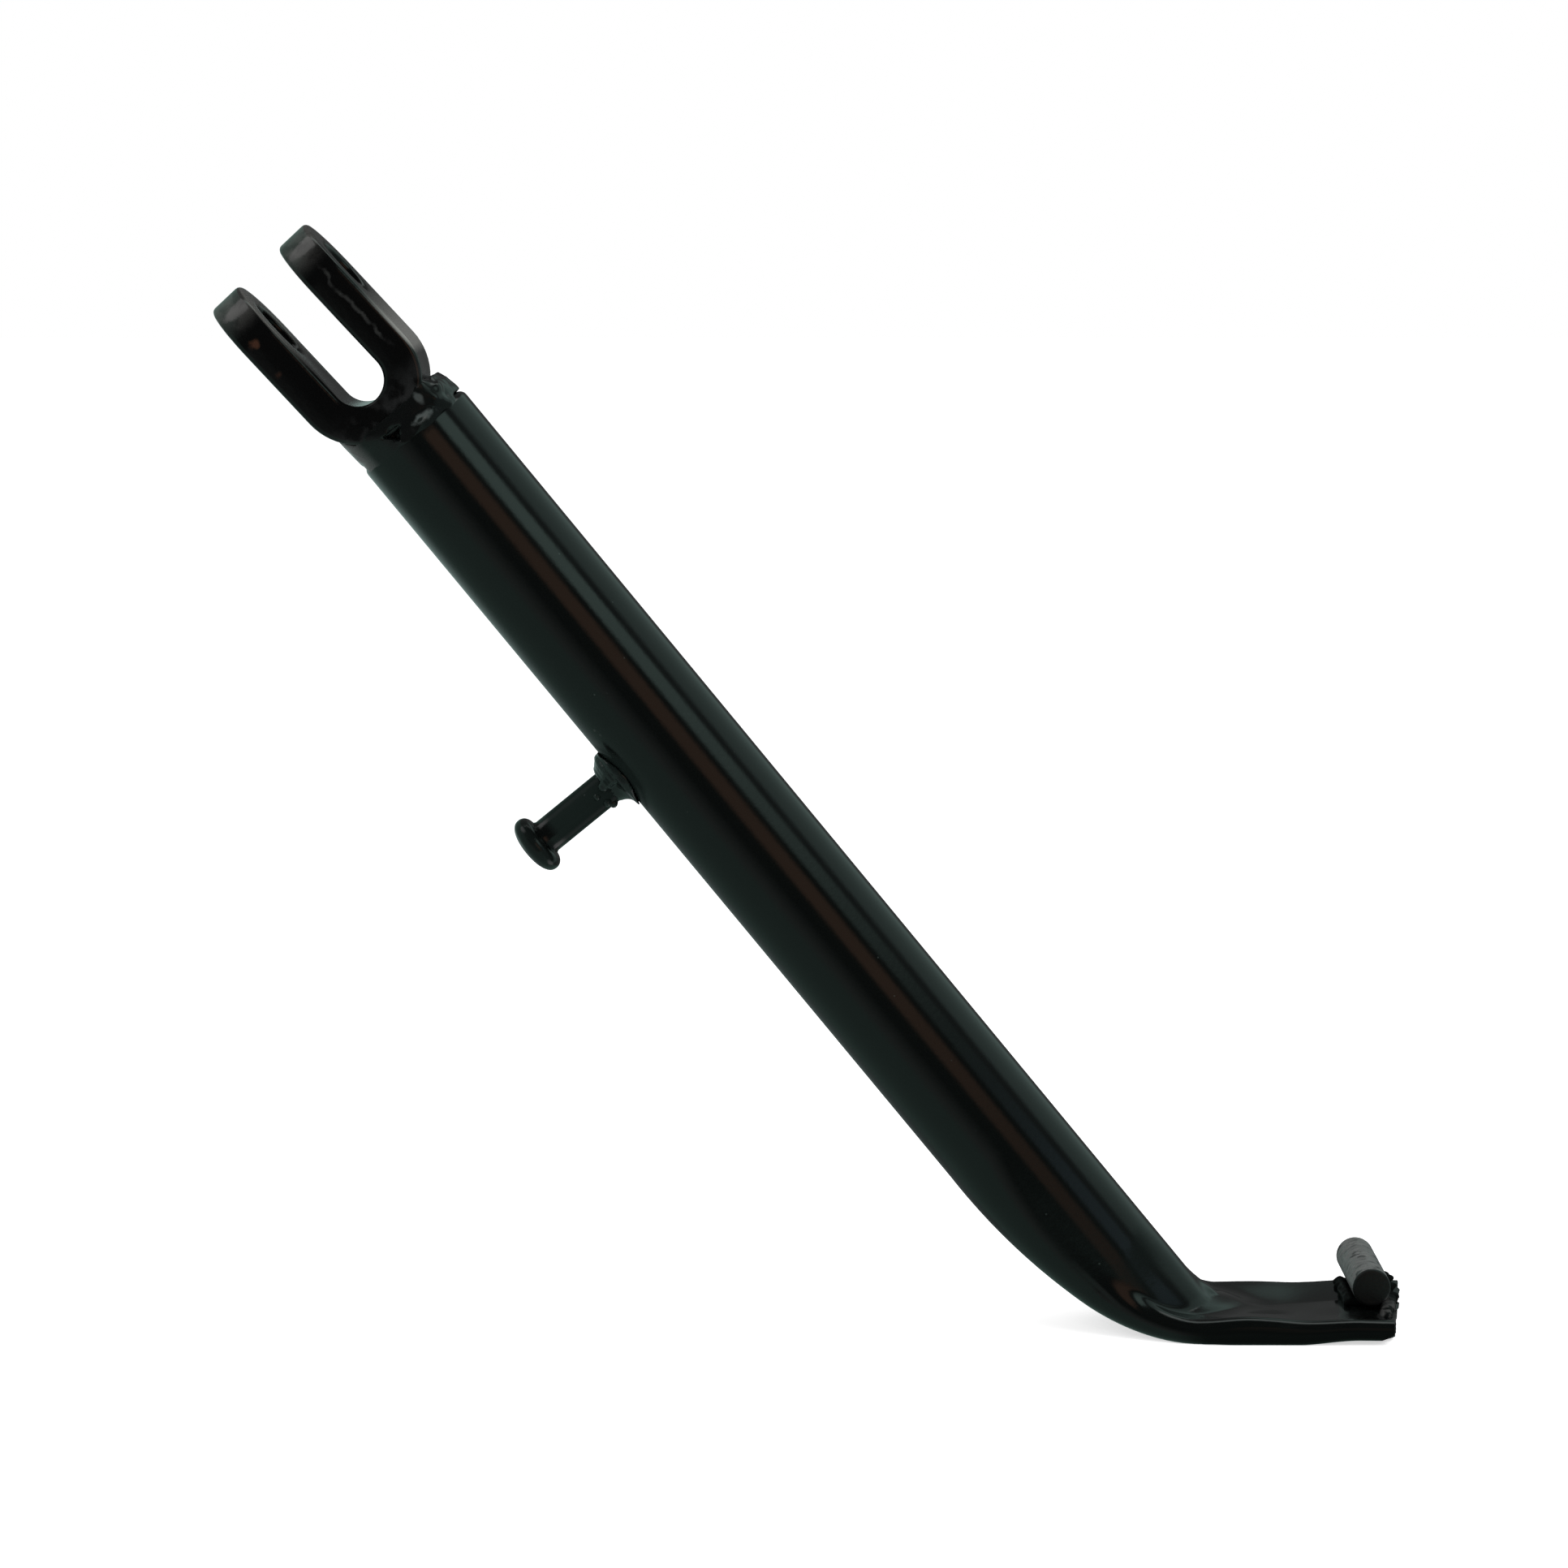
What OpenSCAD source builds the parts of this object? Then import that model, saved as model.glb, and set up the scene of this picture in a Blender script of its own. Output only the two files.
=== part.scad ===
// Motorcycle side stand, in millimetres, shown down on level ground.
// The origin is the centre of the pivot bore. X points out from the machine, Y along it, Z up.

/* [Pivot fork] */
// Diameter of the pivot bore through both ears
bore_d = 14; // [8:0.5:16]
// Clear gap between the two ears
fork_gap = 11.6; // [8:0.1:16]
// Thickness of the flat bar that the fork is bent from
strap_t = 8.4; // [6:0.2:10]
// Width of the flat bar
strap_w = 26; // [23:0.5:27]
// Distance from the pivot to the floor of the slot
slot_depth = 25.6; // [22:0.2:40]
// Chamfer along the edges of the flat bar
strap_edge = 0.8; // [0.2:0.1:1.5]
// How much further than the leg the fork leans, in degrees
fork_tilt = 3.5; // [0:0.5:6]

/* [Leg tube] */
// Outside diameter of the tube
tube_d = 28; // [26:0.5:32]
// Wall of the tube
tube_wall = 2.2; // [1.6:0.1:2.4]
// Lean of the leg from upright, in degrees
leg_lean = 39.3; // [30:0.1:48]
// Height of the pivot above the ground
pivot_height = 227.5; // [215:0.5:300]
// Fit-up gap between the bend of the fork and the mouth of the tube
root_gap = 1.4; // [0.4:0.1:3]
// How far the middle of the leg lies right of the middle of the fork
leg_shift = 0.4; // [0:0.1:1]

/* [Foot] */
// Radius of the sole in the upper, gentle part of the bend
knee_r = 140; // [110:5:180]
// Turn of that part of the bend, in degrees
knee_turn = 16; // [10:1:20]
// Radius of the sole in the lower part of the bend
sole_bend_r = 45; // [40:1:60]
// Rounding between the round leg and the near side of the foot
near_fillet = 3.6; // [1:0.2:6]
// Rounding between the round leg and the far side of the foot
far_fillet = 8; // [4:0.5:10]
// Length of the spoon pressed under the round leg
spoon_len = 18; // [10:0.5:24]
// Half width of that spoon
spoon_half_w = 14; // [8:0.5:16]
// Height of that spoon under the round leg
spoon_h = 4; // [2:0.5:6]
// Thickness of the foot at the end of the bend
foot_t = 6; // [5.4:0.1:8]
// Thickness of the foot at its cut end
foot_end_t = 5; // [4.8:0.1:7]
// Length of the foot past the bend
foot_len = 46.3; // [36:0.1:60]
// Rise of the sole towards the cut end
toe_rise = 1.2; // [0:0.1:2]
// Depth of the trough pressed along the top of the foot
trough_depth = 1.5; // [0:0.1:1.8]
// How much of its height the near edge of the foot loses in the press
near_press = 0.26; // [0:0.02:0.3]
// Skew of the cut end, in degrees
end_skew = 8; // [0:1:12]
// Depth worn off the sole to a flat
sole_wear = 0.3; // [0.1:0.1:0.8]

/* [Spring peg] */
// Distance from the mouth of the tube down to the peg
peg_drop = 88.5; // [40:0.5:150]
// Diameter of the shank
peg_d = 8; // [6:0.5:9]
// Length of the shank from the tube to the head
peg_reach = 21.6; // [14:0.2:40]
// Diameter of the head
head_d = 13.6; // [12.4:0.2:18]
// Thickness of the head
head_t = 5.1; // [3.4:0.1:7]
// Radius of the head's inner rim
head_rim = 2; // [0.5:0.1:2.4]
// How far the shank stands inside the tube
peg_stub = 1.5; // [0.5:0.5:4]
// Clearance of the shank in its drilled seat, on the diameter
peg_clearance = 0.2; // [0.1:0.1:0.6]

/* [Toe bar] */
// Diameter of the bar
bar_d = 8.5; // [7:0.5:10]
// Length of the bar
bar_len = 33; // [24:0.5:36]
// Distance from the cut end of the foot back to the bar
bar_setback = 6.6; // [6:0.1:12]
// How far the bar stands out past the rear edge of the foot
bar_overhang = 4.2; // [1:0.2:8]
// Fit-up gap between the bar and the foot
bar_gap = 0.1; // [0.1:0.1:0.4]

/* [Welds] */
// How far the fork welds reach in from the outside of the tube
fork_weld_depth = 4.5; // [3:0.5:6]
// How far the toe of the fork welds lies inside the edge of the tube
fork_weld_inset = 0.3; // [0.1:0.1:1]
// How far the fork welds draw in halfway up, at the left of the leg
left_weld_hollow = 0.2; // [0:0.1:2]
// How far they draw in at the right
right_weld_hollow = 1.6; // [0.5:0.1:2]
// How far the front and rear fork welds stand proud of the flat bar
fork_weld_proud = 0.7; // [0.3:0.1:1]
// Height of the left fork weld above the mouth of the tube
left_weld_h = 9.5; // [7:0.5:14]
// Height of the right fork weld
right_weld_h = 10; // [7:0.5:16]
// Height of the front fork weld
front_weld_h = 8.5; // [6:0.5:12]
// Height of the rear fork weld
rear_weld_h = 9; // [6:0.5:12]
// Radius of the crater left in the front fork weld
crater_r = 1.5; // [0.5:0.1:2]
// Depth of that crater under the face of the flat bar
crater_depth = 1; // [0.4:0.1:1.5]
// Radius of the weld collar round the peg, at the tube
collar_r = 7.6; // [6:0.1:9]
// Height of the collar up the shank
collar_h = 4.2; // [2:0.1:6]
// Length of the toe bar welds
bar_weld_len = 21; // [12:0.5:22]
// Reach of the toe bar welds along the foot from the middle of the bar
bar_weld_reach = 5.4; // [4.6:0.1:6]
// Height of the toe bar welds up the bar
bar_weld_h = 2.4; // [2:0.1:4]

/* [Hidden] */
$fn = 64;
// Past-the-face length for cuts
cut = 1;
// Sides round the formed end of the leg, and steps of the rays that find each half of its outline
sides = 56;
rays = 120;
// Rings along the bend and along the flat of the foot
bend_rings = 22;
foot_rings = 13;
// How early the bend is pressed flat
pinch = 1.5;
// Parts of the bend, counted from the foot, at which the foot starts to spread and has its full width
spread_band = [0.42, -0.12];
// Part of the bend, counted from the foot, over which the press marks fade out
press_fade = 0.4;
// Parts of the foot between which the sole rises
rise_band = [0.46, 0.82];
// Least gap left between the two walls of the flattened tube
least_slit = 0.3;
// Lap of the formed end inside the tube's wall, and how far it lies under both skins there
lap = 3;
seam = 0.06;
// Where the trough's lowest line lies across the foot, at the spoon and at the cut end
trough_y = [1, 5];
// Past the instep: tip of the spoon, end of the trough's drift, middle and reach of the near edge's high spot
spoon_tip = 7.4;
trough_run = 20;
crest_at = 9;
crest_len = 9;
// Share of its press that the near edge gets back, and more, at that spot
crest_share = 1.3;
// Widths across the foot over which the near edge's press fades in
near_band = [2, 13];
// Band round the spoon's edge, as parts of its size, over which the trough sets in
trough_band = [-0.1, 0.15];
// Share of the way round from the top of the leg over which the near fillet turns into the far one
fillet_band = 0.6;
// Steps in each rounded corner of a turned profile
arc_steps = 8;
// How far the top of a fork weld dips under the bar's surface before it is trimmed
weld_bite = 0.6;
// Depth that the toe bar welds reach into the trough before they are trimmed
trough_fill = 2;

fork_lean = leg_lean + fork_tilt;
bend_drop = slot_depth - fork_gap / 2;
ear_mid = (fork_gap + strap_t) / 2;
mouth_drop = slot_depth + strap_t + root_gap;
mouth = mouth_drop * [sin(fork_lean), 0, -cos(fork_lean)]
    + leg_shift * [cos(leg_lean), 0, sin(leg_lean)];
// Outside radius of the fork's bend, and the bend's centre as seen from the leg.
bend_r = fork_gap / 2 + strap_t;
bend_centre = (bend_r + root_gap) * [-sin(fork_tilt), cos(fork_tilt)] - [leg_shift, 0];
// Side welds and end welds of the fork meet this far from its middle.
weld_split = tube_d / 2 - fork_weld_depth - cut / 2;

function smooth(low, high, v) = let (t = min(max((v - low) / (high - low), 0), 1)) t * t * (3 - 2 * t);
function soft_max(a, b, k) = let (h = max(k - abs(a - b), 0) / k) max(a, b) + h * h * k / 4;
function degrees(length, radius) = length / radius * 180 / PI;

// The sole runs down the leg, round a gentle and a tight arc, and along the ground. Points here are [x, z].
tube_r = tube_d / 2;
turn = 90 - leg_lean;
heel = turn - knee_turn;
sole_z = -pivot_height;
start = [mouth[0], mouth[2]];
across = [cos(leg_lean), sin(leg_lean)];
down = [sin(leg_lean), -cos(leg_lean)];
low_z = sole_z - sole_wear + sole_bend_r;
arc_gap = knee_r - tube_r - (knee_r - sole_bend_r) * cos(knee_turn);
bend_x = start[0] + (arc_gap - (low_z - start[1]) * sin(leg_lean)) / cos(leg_lean);
function upward(psi) = [sin(psi), cos(psi)];
low_centre = [bend_x, low_z];
high_centre = low_centre + (knee_r - sole_bend_r) * upward(heel);
function sole_point(psi) =
    psi <= heel ? low_centre - sole_bend_r * upward(psi) : high_centre - knee_r * upward(psi);
straight_len = (sole_point(turn) - start) * down;
low_run = sole_bend_r * heel * PI / 180;
bend_run = low_run + knee_r * knee_turn * PI / 180;
// Where the top of the leg, run straight on, comes down to the top of the foot.
instep_x = start[0] + (tube_r - (sole_z + foot_t - start[1]) * sin(leg_lean)) / cos(leg_lean);

// Half width of a flattened tube of this thickness, whose girth stays that of the round tube.
function half_width(t) = PI / 4 * (tube_d - t) + t / 2;
function spread_width(left, t) =
    tube_r + (half_width(t) - tube_r) * smooth(spread_band[0], spread_band[1], left);
function foot_thickness(u) = foot_t + (foot_end_t - foot_t) * u;
function foot_sole(u) = sole_z - sole_wear + toe_rise * smooth(rise_band[0], rise_band[1], u);

// One station of the formed end: [point of the sole, slope, bend left, half thickness, half width, skew].
function bend_station(run) =
    let (
        psi = run <= low_run ? degrees(run, sole_bend_r) : heel + degrees(run - low_run, knee_r),
        left = run / bend_run
    )
    [
        sole_point(psi), psi, left, foot_t / 2 + (tube_r - foot_t / 2) * pow(left, pinch),
        spread_width(left, foot_t), 0
    ];
function foot_station(u) =
    let (t = foot_thickness(u), run = foot_len * u)
    [[bend_x + run, foot_sole(u)], 0, 0, t / 2, spread_width(-run / bend_run, t), tan(end_skew) * u * u];
lap_station = [sole_point(turn) - lap * down, turn, 1, tube_r, tube_r, 0];
stations = concat(
    [lap_station],
    [for (i = [0:bend_rings]) bend_station(bend_run * (1 - i / bend_rings))],
    [for (i = [1:foot_rings]) foot_station(i / foot_rings)]
);

// Section of the formed end: the round tube, run straight on, over a flat plate with round edges. Rays leave
// the middle of the plate, and the further of the two outlines counts.
function tube_ray(st, radius, c, s) =
    let (
        rise = across * upward(st[1]),
        q = across * (st[0] - start) + st[3] * rise,
        room = radius * radius - q * q,
        a = c * c + rise * rise * s * s,
        b = s * rise * q
    )
    room <= 0 ? 0 : (sqrt(b * b + a * room) - b) / a;
function plate_ray(half_t, half_w, c, s) =
    let (flat = half_w - half_t)
    abs(s) * flat >= half_t * c ? half_t / abs(s)
        : flat * c + sqrt(max(pow(half_t, 2) - pow(flat * s, 2), 0));
// The fillet between them shrinks with the tube, so it ends where the tube does.
function section_ray(st, under, half_t, side, c, s) =
    let (
        fillet = near_fillet + (far_fillet - near_fillet) * smooth(-fillet_band, fillet_band, side * c),
        plate = plate_ray(half_t, st[4] - under, c, s),
        tube = tube_ray(st, tube_r - under, c, s),
        blend = min(fillet * pow(1 - st[2], 2), plate + 2 * tube)
    )
    s < 0 && st[2] < 1 ? plate : soft_max(plate, tube, blend + seam / 100);
function outline(st, under, half_t, side) = [for (k = [0:rays])
    let (a = 90 - 180 * k / rays, r = section_ray(st, under, half_t, side, cos(a), sin(a)))
    [side * r * cos(a), st[3] + r * sin(a)]];

// The same outline at even steps along its run.
function runs(p) = [
    for (i = 0, s = 0; i < len(p); s = s + norm(p[min(i + 1, len(p) - 1)] - p[i]), i = i + 1) s];
function even(p) =
    let (
        run = runs(p),
        ys = [for (i = [0:len(p) - 1]) [run[i], p[i][0]]],
        hs = [for (i = [0:len(p) - 1]) [run[i], p[i][1]]],
        whole = run[len(p) - 1]
    )
    [for (k = [0:sides / 2]) let (s = whole * 2 * k / sides) [lookup(s, ys), lookup(s, hs)]];

// Height over the sole after the press: the spoon under the leg, the trough along the foot and the near edge.
function pressed(st, under, half_t, q) =
    let (
        y = q[0],
        x = st[0][0] + q[1] * sin(st[1]) - instep_x,
        press = smooth(press_fade, press_fade / 4, st[2]),
        flat = st[4] - st[3],
        top = st[3] + sqrt(max(pow(half_t, 2) - pow(max(abs(y) - flat, 0), 2), 0)),
        out = norm([(x - spoon_tip + spoon_len) / spoon_len, (y - trough_y[0]) / spoon_half_w]),
        line = trough_y[0] + (trough_y[1] - trough_y[0]) * smooth(spoon_tip, trough_run, x),
        dip = max(1 - abs(y - line) / (y > line ? flat - line : flat + line), 0),
        raised = max(q[1], top + spoon_h * (1 - out) * press),
        sunk = raised - trough_depth * dip * press * smooth(trough_band[0], trough_band[1], out - 1),
        h = q[1] > st[3] ? max(sunk, under > seam ? under + least_slit : 0) : q[1],
        crest = exp(-pow((x - crest_at) / crest_len, 2)),
        near = smooth(near_band[0], near_band[1], -y) * press
    )
    h * (1 - near_press * (1 - crest_share * crest) * near);
function place(st, q, h) = [st[0][0] + h * sin(st[1]) + q[0] * st[5], q[0], st[0][1] + h * cos(st[1])];
function ring(st, under) =
    let (
        half_t = max(st[3] - under, least_slit / 2),
        far = even(outline(st, under, half_t, 1)),
        near = even(outline(st, under, half_t, -1))
    )
    [for (k = [0:sides - 1])
        let (q = k <= sides / 2 ? far[k] : near[sides - k])
        place(st, q, pressed(st, under, half_t, q))];
outer_rings = [for (i = [0:len(stations) - 1]) each ring(stations[i], i < 2 ? seam : 0)];
inner_rings = [for (i = [0:len(stations) - 1]) each ring(stations[i], tube_wall - (i < 2 ? seam : 0))];
function at(i, k) = i * sides + k % sides;
function skin(first) = [for (i = [first:len(stations) - 2]) for (k = [0:sides - 1]) each
    [[at(i, k), at(i, k + 1), at(i + 1, k + 1)], [at(i, k), at(i + 1, k + 1), at(i + 1, k)]]];
function flipped(faces, shift) = [for (f = faces) [f[2] + shift, f[1] + shift, f[0] + shift]];
function rim(i, shift) = [for (k = [0:sides - 1]) each
    [[at(i, k + 1), at(i, k), at(i, k) + shift], [at(i, k + 1), at(i, k) + shift, at(i, k + 1) + shift]]];

foot_end_x = bend_x + foot_len;
bar_u = (foot_len - bar_setback) / foot_len;
bar_x = foot_end_x - bar_setback;
bar_z = foot_sole(bar_u) + foot_thickness(bar_u) + bar_gap + bar_d / 2;
foot_half_w = half_width(foot_thickness(bar_u));
bar_rear = foot_half_w + bar_overhang;
bar_weld_rear = foot_half_w - foot_thickness(bar_u) / 2;

// Frame of the fork: pivot at the origin, x along the pivot, z towards the tips of the ears.
module fork_frame() rotate([0, -fork_lean, 0]) children();

// Frame of the leg: mouth of the tube at the origin, z back up the leg, -x on the peg's side.
module leg_frame() translate(mouth) rotate([0, -leg_lean, 0]) children();

// Frame of the peg: z out along the shank from the middle of the tube.
module peg_frame() leg_frame() translate([0, 0, -peg_drop]) rotate([0, -90, 0]) children();

// Section of the flat bar with broken edges, from a given inner edge outwards.
module strap_section(inner) {
    e = strap_edge;
    w = strap_w / 2;
    t = strap_t / 2;
    polygon(concat(
        inner < 0 ? [[-t, -w + e], [-t + e, -w], [t - e, -w], [t, -w + e]] : [[-t, inner], [t, inner]],
        [[t, w - e], [t - e, w], [-t + e, w], [-t, w - e]]
    ));
}

module ear() {
    translate([0, 0, -bend_drop]) linear_extrude(bend_drop) strap_section(-1);
    rotate([0, 90, 0]) rotate([0, 0, 90]) rotate_extrude(angle = 180)
        rotate(-90) strap_section(0);
}

module fork_solid() fork_frame() difference() {
    union() {
        for (side = [-1, 1]) translate([side * ear_mid, 0, 0]) ear();
        translate([0, 0, -bend_drop]) rotate([-90, 0, 0]) rotate_extrude(angle = 180)
            translate([ear_mid, 0]) strap_section(-1);
    }
    rotate([0, 90, 0]) cylinder(d = bore_d, h = fork_gap + 2 * strap_t + 2 * cut, center = true);
}

// Outside of the flat of the foot as one closed solid, for trimming what is welded to it.
module foot_block() {
    first = bend_rings + 1;
    last = len(stations) - 1;
    polyhedron(
        outer_rings,
        concat(
            skin(first),
            [[for (k = [sides - 1:-1:0]) at(first, k)], [for (k = [0:sides - 1]) at(last, k)]]
        ),
        convexity = 6
    );
}

module formed_foot() {
    shift = sides * len(stations);
    polyhedron(
        concat(outer_rings, inner_rings),
        concat(skin(0), flipped(skin(0), shift), rim(0, shift), flipped(rim(len(stations) - 1, shift), 0)),
        convexity = 8
    );
}

module straight_tube() leg_frame() translate([0, 0, -straight_len]) difference() {
    cylinder(d = tube_d, h = straight_len);
    translate([0, 0, -cut]) cylinder(d = tube_d - 2 * tube_wall, h = straight_len + 2 * cut);
}

module leg_tube() color("#141a19") difference() {
    union() {
        straight_tube();
        formed_foot();
    }
    peg_frame() cylinder(d = peg_d + peg_clearance, h = tube_d);
    translate([bend_x - sole_bend_r, -tube_d, sole_z - tube_d])
        cube([sole_bend_r + 2 * foot_len, 2 * tube_d, tube_d]);
}

module pivot_fork() color("#1b1c1c") fork_solid();

// Turned profile: shank, rounded inner rim and domed outside of the head.
module spring_peg() color("#171d1c") peg_frame() rotate_extrude() polygon(concat(
    [[0, tube_d / 2 - tube_wall - peg_stub], [peg_d / 2, tube_d / 2 - tube_wall - peg_stub]],
    [[peg_d / 2, tube_d / 2 + peg_reach]],
    [for (i = [0:arc_steps]) let (a = 90 * i / arc_steps)
        [head_d / 2 - head_rim * (1 - sin(a)), tube_d / 2 + peg_reach + head_rim * (1 - cos(a))]],
    [for (i = [1:arc_steps]) let (a = 90 * i / arc_steps)
        [head_d / 2 * cos(a), tube_d / 2 + peg_reach + head_rim + (head_t - head_rim) * sin(a)]]
));

module toe_bar_solid() translate([bar_x, bar_rear, bar_z])
    rotate([90, 0, 0]) cylinder(d = bar_d, h = bar_len);

module toe_bar() color("#3a3d3c") toe_bar_solid();

// Plate with round corners, for blending the fork welds.
module weld_plate(x, y, corner) linear_extrude(seam)
    hull() for (i = [-1, 1], j = [-1, 1])
        translate([i * (x - corner), j * (y - corner)]) circle(corner, $fn = 24);

// One run of the weld between the fork and the tube's mouth, over the given patch of the mouth.
module fork_weld(low, high, height) {
    toe = tube_d / 2 - fork_weld_inset;
    mean_hollow = (left_weld_hollow + right_weld_hollow) / 2;
    reach = sqrt(pow(bend_r, 2) - pow(bend_centre[1] - height, 2));
    difference() {
        leg_frame() intersection() {
            hull() {
                linear_extrude(seam) circle(toe, $fn = 48);
                translate([(left_weld_hollow - right_weld_hollow) / 2, 0, height / 2])
                    weld_plate(toe - mean_hollow, strap_w / 2 + fork_weld_proud, toe / 2);
                translate([bend_centre[0], 0, height])
                    weld_plate(reach - weld_bite, strap_w / 2 - weld_bite, toe / 4);
            }
            translate([low[0], low[1], 0]) cube([high[0] - low[0], high[1] - low[1], 2 * height]);
        }
        leg_frame() translate([0, 0, -cut]) cylinder(r = tube_d / 2 - fork_weld_depth, h = height + 2 * cut);
        fork_solid();
        fork_frame() translate([-fork_gap / 2, -strap_w, -slot_depth])
            cube([fork_gap, 2 * strap_w, slot_depth]);
    }
}

module fork_weld_left() color("#202625")
    fork_weld([-tube_d, -weld_split], [0, weld_split], left_weld_h);

module fork_weld_right() color("#202625")
    fork_weld([0, -weld_split], [tube_d, weld_split], right_weld_h);

module fork_weld_front() color("#202625") difference() {
    fork_weld([-tube_d, -tube_d], [tube_d, -weld_split], front_weld_h);
    leg_frame() translate([-1.5 * crater_r, crater_depth - strap_w / 2, root_gap + crater_r / 3])
        rotate([90, 0, 0]) cylinder(r1 = crater_r / 2, r2 = crater_r, h = crater_depth + crater_r);
}

module fork_weld_rear() color("#202625")
    fork_weld([-tube_d, weld_split], [tube_d, tube_d], rear_weld_h);

// Hollow fillet turned round the shank and trimmed to the tube.
module spring_peg_weld() color("#202625") difference() {
    peg_frame() rotate_extrude() polygon(concat(
        [[peg_d / 2, tube_d / 4], [collar_r, tube_d / 4]],
        [for (i = [0:arc_steps]) let (a = 90 * i / arc_steps)
            [collar_r - (collar_r - peg_d / 2) * sin(a), tube_d / 2 + collar_h * (1 - cos(a))]]
    ));
    leg_frame() translate([0, 0, -straight_len]) cylinder(d = tube_d, h = straight_len);
}

// Fillet along one side of the toe bar, trimmed to the bar and the foot.
module toe_bar_weld(side) difference() {
    translate([bar_x, bar_weld_rear, bar_z - bar_d / 2]) rotate([90, 0, 0]) linear_extrude(bar_weld_len)
        polygon([
            [0, -trough_fill], [side * bar_weld_reach, -trough_fill], [side * bar_weld_reach, 0],
            [side * bar_d / 2, bar_weld_h], [0, bar_weld_h]
        ]);
    toe_bar_solid();
    foot_block();
}

module toe_bar_weld_inner() color("#202625") toe_bar_weld(-1);

module toe_bar_weld_outer() color("#202625") toe_bar_weld(1);

leg_tube();
pivot_fork();
spring_peg();
toe_bar();
fork_weld_left();
fork_weld_right();
fork_weld_front();
fork_weld_rear();
spring_peg_weld();
toe_bar_weld_inner();
toe_bar_weld_outer();
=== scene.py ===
import math
from collections import namedtuple

import bmesh
import bpy
from bpy.props import FloatProperty, FloatVectorProperty, PointerProperty
from mathutils import Matrix, Vector, noise


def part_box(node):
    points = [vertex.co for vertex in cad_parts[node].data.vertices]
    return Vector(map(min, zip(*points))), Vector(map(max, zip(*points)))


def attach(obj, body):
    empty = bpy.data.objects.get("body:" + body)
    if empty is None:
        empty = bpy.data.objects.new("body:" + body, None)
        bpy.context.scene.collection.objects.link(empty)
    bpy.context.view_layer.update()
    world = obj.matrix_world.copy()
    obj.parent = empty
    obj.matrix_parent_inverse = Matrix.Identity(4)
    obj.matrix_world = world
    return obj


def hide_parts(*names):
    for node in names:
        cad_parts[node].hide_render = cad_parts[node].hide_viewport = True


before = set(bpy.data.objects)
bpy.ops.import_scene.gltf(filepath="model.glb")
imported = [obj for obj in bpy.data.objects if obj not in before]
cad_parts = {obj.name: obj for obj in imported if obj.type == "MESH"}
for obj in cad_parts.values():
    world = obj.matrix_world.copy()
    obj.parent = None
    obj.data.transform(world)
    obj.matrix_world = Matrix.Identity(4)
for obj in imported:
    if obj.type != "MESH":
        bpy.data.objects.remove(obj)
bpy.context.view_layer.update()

bl_info = {
    "name": "Side stand",
    "version": (1, 0, 0),
    "blender": (4, 5, 0),
    "location": "3D View > Sidebar > Side stand",
    "description": "Dresses a welded side stand with smooth forms, lumpy welds and gloss paint",
    "category": "Object",
}

MM = 0.001
NEAR = 1e-6
QUARTER = math.pi / 2
ROUND_SEGMENTS = 96
SHARP_ANGLE = math.radians(40)
CRUMB_POINTS = 150

# Noise scales, in cells to the metre.
GLOSS_CLOUDS = 60
DUST_CELLS = 170
PATCHES = 260
FINE_PATCHES = 520

DUST = (0.02, 0.025, 0.024)
# Grey painted sheen for the fork's right face, inner face and tips.
PAINTED_SHEEN_GREY = (0.24, 0.24, 0.225)
# Darker patches towards the bottom of the fork's bend.
DARKER_BEND_PATCHES = (0.016, 0.017, 0.017)
# Painted highlight along the sheared vein on the fork's front.
PAINTED_VEIN_HIGHLIGHT = (0.12, 0.125, 0.12)
PRIMER = (0.11, 0.045, 0.024)
SCRATCH = (0.08, 0.085, 0.083)
# Dark specks painted as the shade of the toe bar's hammer marks.
PAINTED_PIT_SHADE = (0.02, 0.021, 0.021)
BAR_END = (0.0035, 0.0038, 0.0038)
# Painted highlight on the left side of the fork's weld.
PAINTED_WELD_HIGHLIGHT = (0.15, 0.152, 0.15)
# Painted highlight on the near end of the toe bar's outer weld.
PAINTED_BAR_WELD_HIGHLIGHT = (0.1, 0.1, 0.098)
# Painted highlights on facets of the fork's weld, and painted shade in a slit between them.
PAINTED_FACET_HIGHLIGHT = (0.145, 0.17, 0.165)
PAINTED_SLIT_SHADE = (0.004, 0.006, 0.005)


def length(name, description, millimetres):
    return FloatProperty(
        name=name, description=description, default=millimetres * MM, unit="LENGTH", precision=5)


def angle(name, description, degrees):
    return FloatProperty(name=name, description=description, default=math.radians(degrees), unit="ROTATION")


def colour(name, description, default):
    return FloatVectorProperty(
        name=name, description=description, default=default, subtype="COLOR", size=3, min=0, max=1)


def amount(name, description, default):
    return FloatProperty(name=name, description=description, default=default, min=0, max=1, subtype="FACTOR")


class ForkSizes(bpy.types.PropertyGroup):
    """Sizes of the fork bent from flat bar"""

    lean: angle("Lean", "Lean of the fork from upright", 42.8)
    bore_radius: length("Bore radius", "Radius of the pivot bore", 7)
    gap: length("Gap", "Clear gap between the ears", 11.6)
    thickness: length("Thickness", "Thickness of the flat bar", 8.4)
    width: length("Width", "Width of the flat bar", 26)
    slot_depth: length("Slot depth", "Distance from the pivot to the floor of the slot", 25.6)
    edge: length("Edge", "Rounding along the edges of the flat bar", 1.1)


class LegSizes(bpy.types.PropertyGroup):
    """Sizes of the tube"""

    lean: angle("Lean", "Lean of the leg from upright", 39.3)
    radius: length("Radius", "Outside radius of the tube", 14)
    wall: length("Wall", "Wall of the tube", 2.2)
    mouth_drop: length("Mouth drop", "Distance from the pivot to the mouth of the tube", 35.4)
    shift: length("Shift", "How far the middle of the leg lies right of the middle of the fork", 0.4)
    mouth_edge: length("Mouth edge", "Rounding of the mouth's rim", 1.8)
    pivot_height: length("Pivot height", "Height of the pivot above the ground", 227.5)


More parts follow.
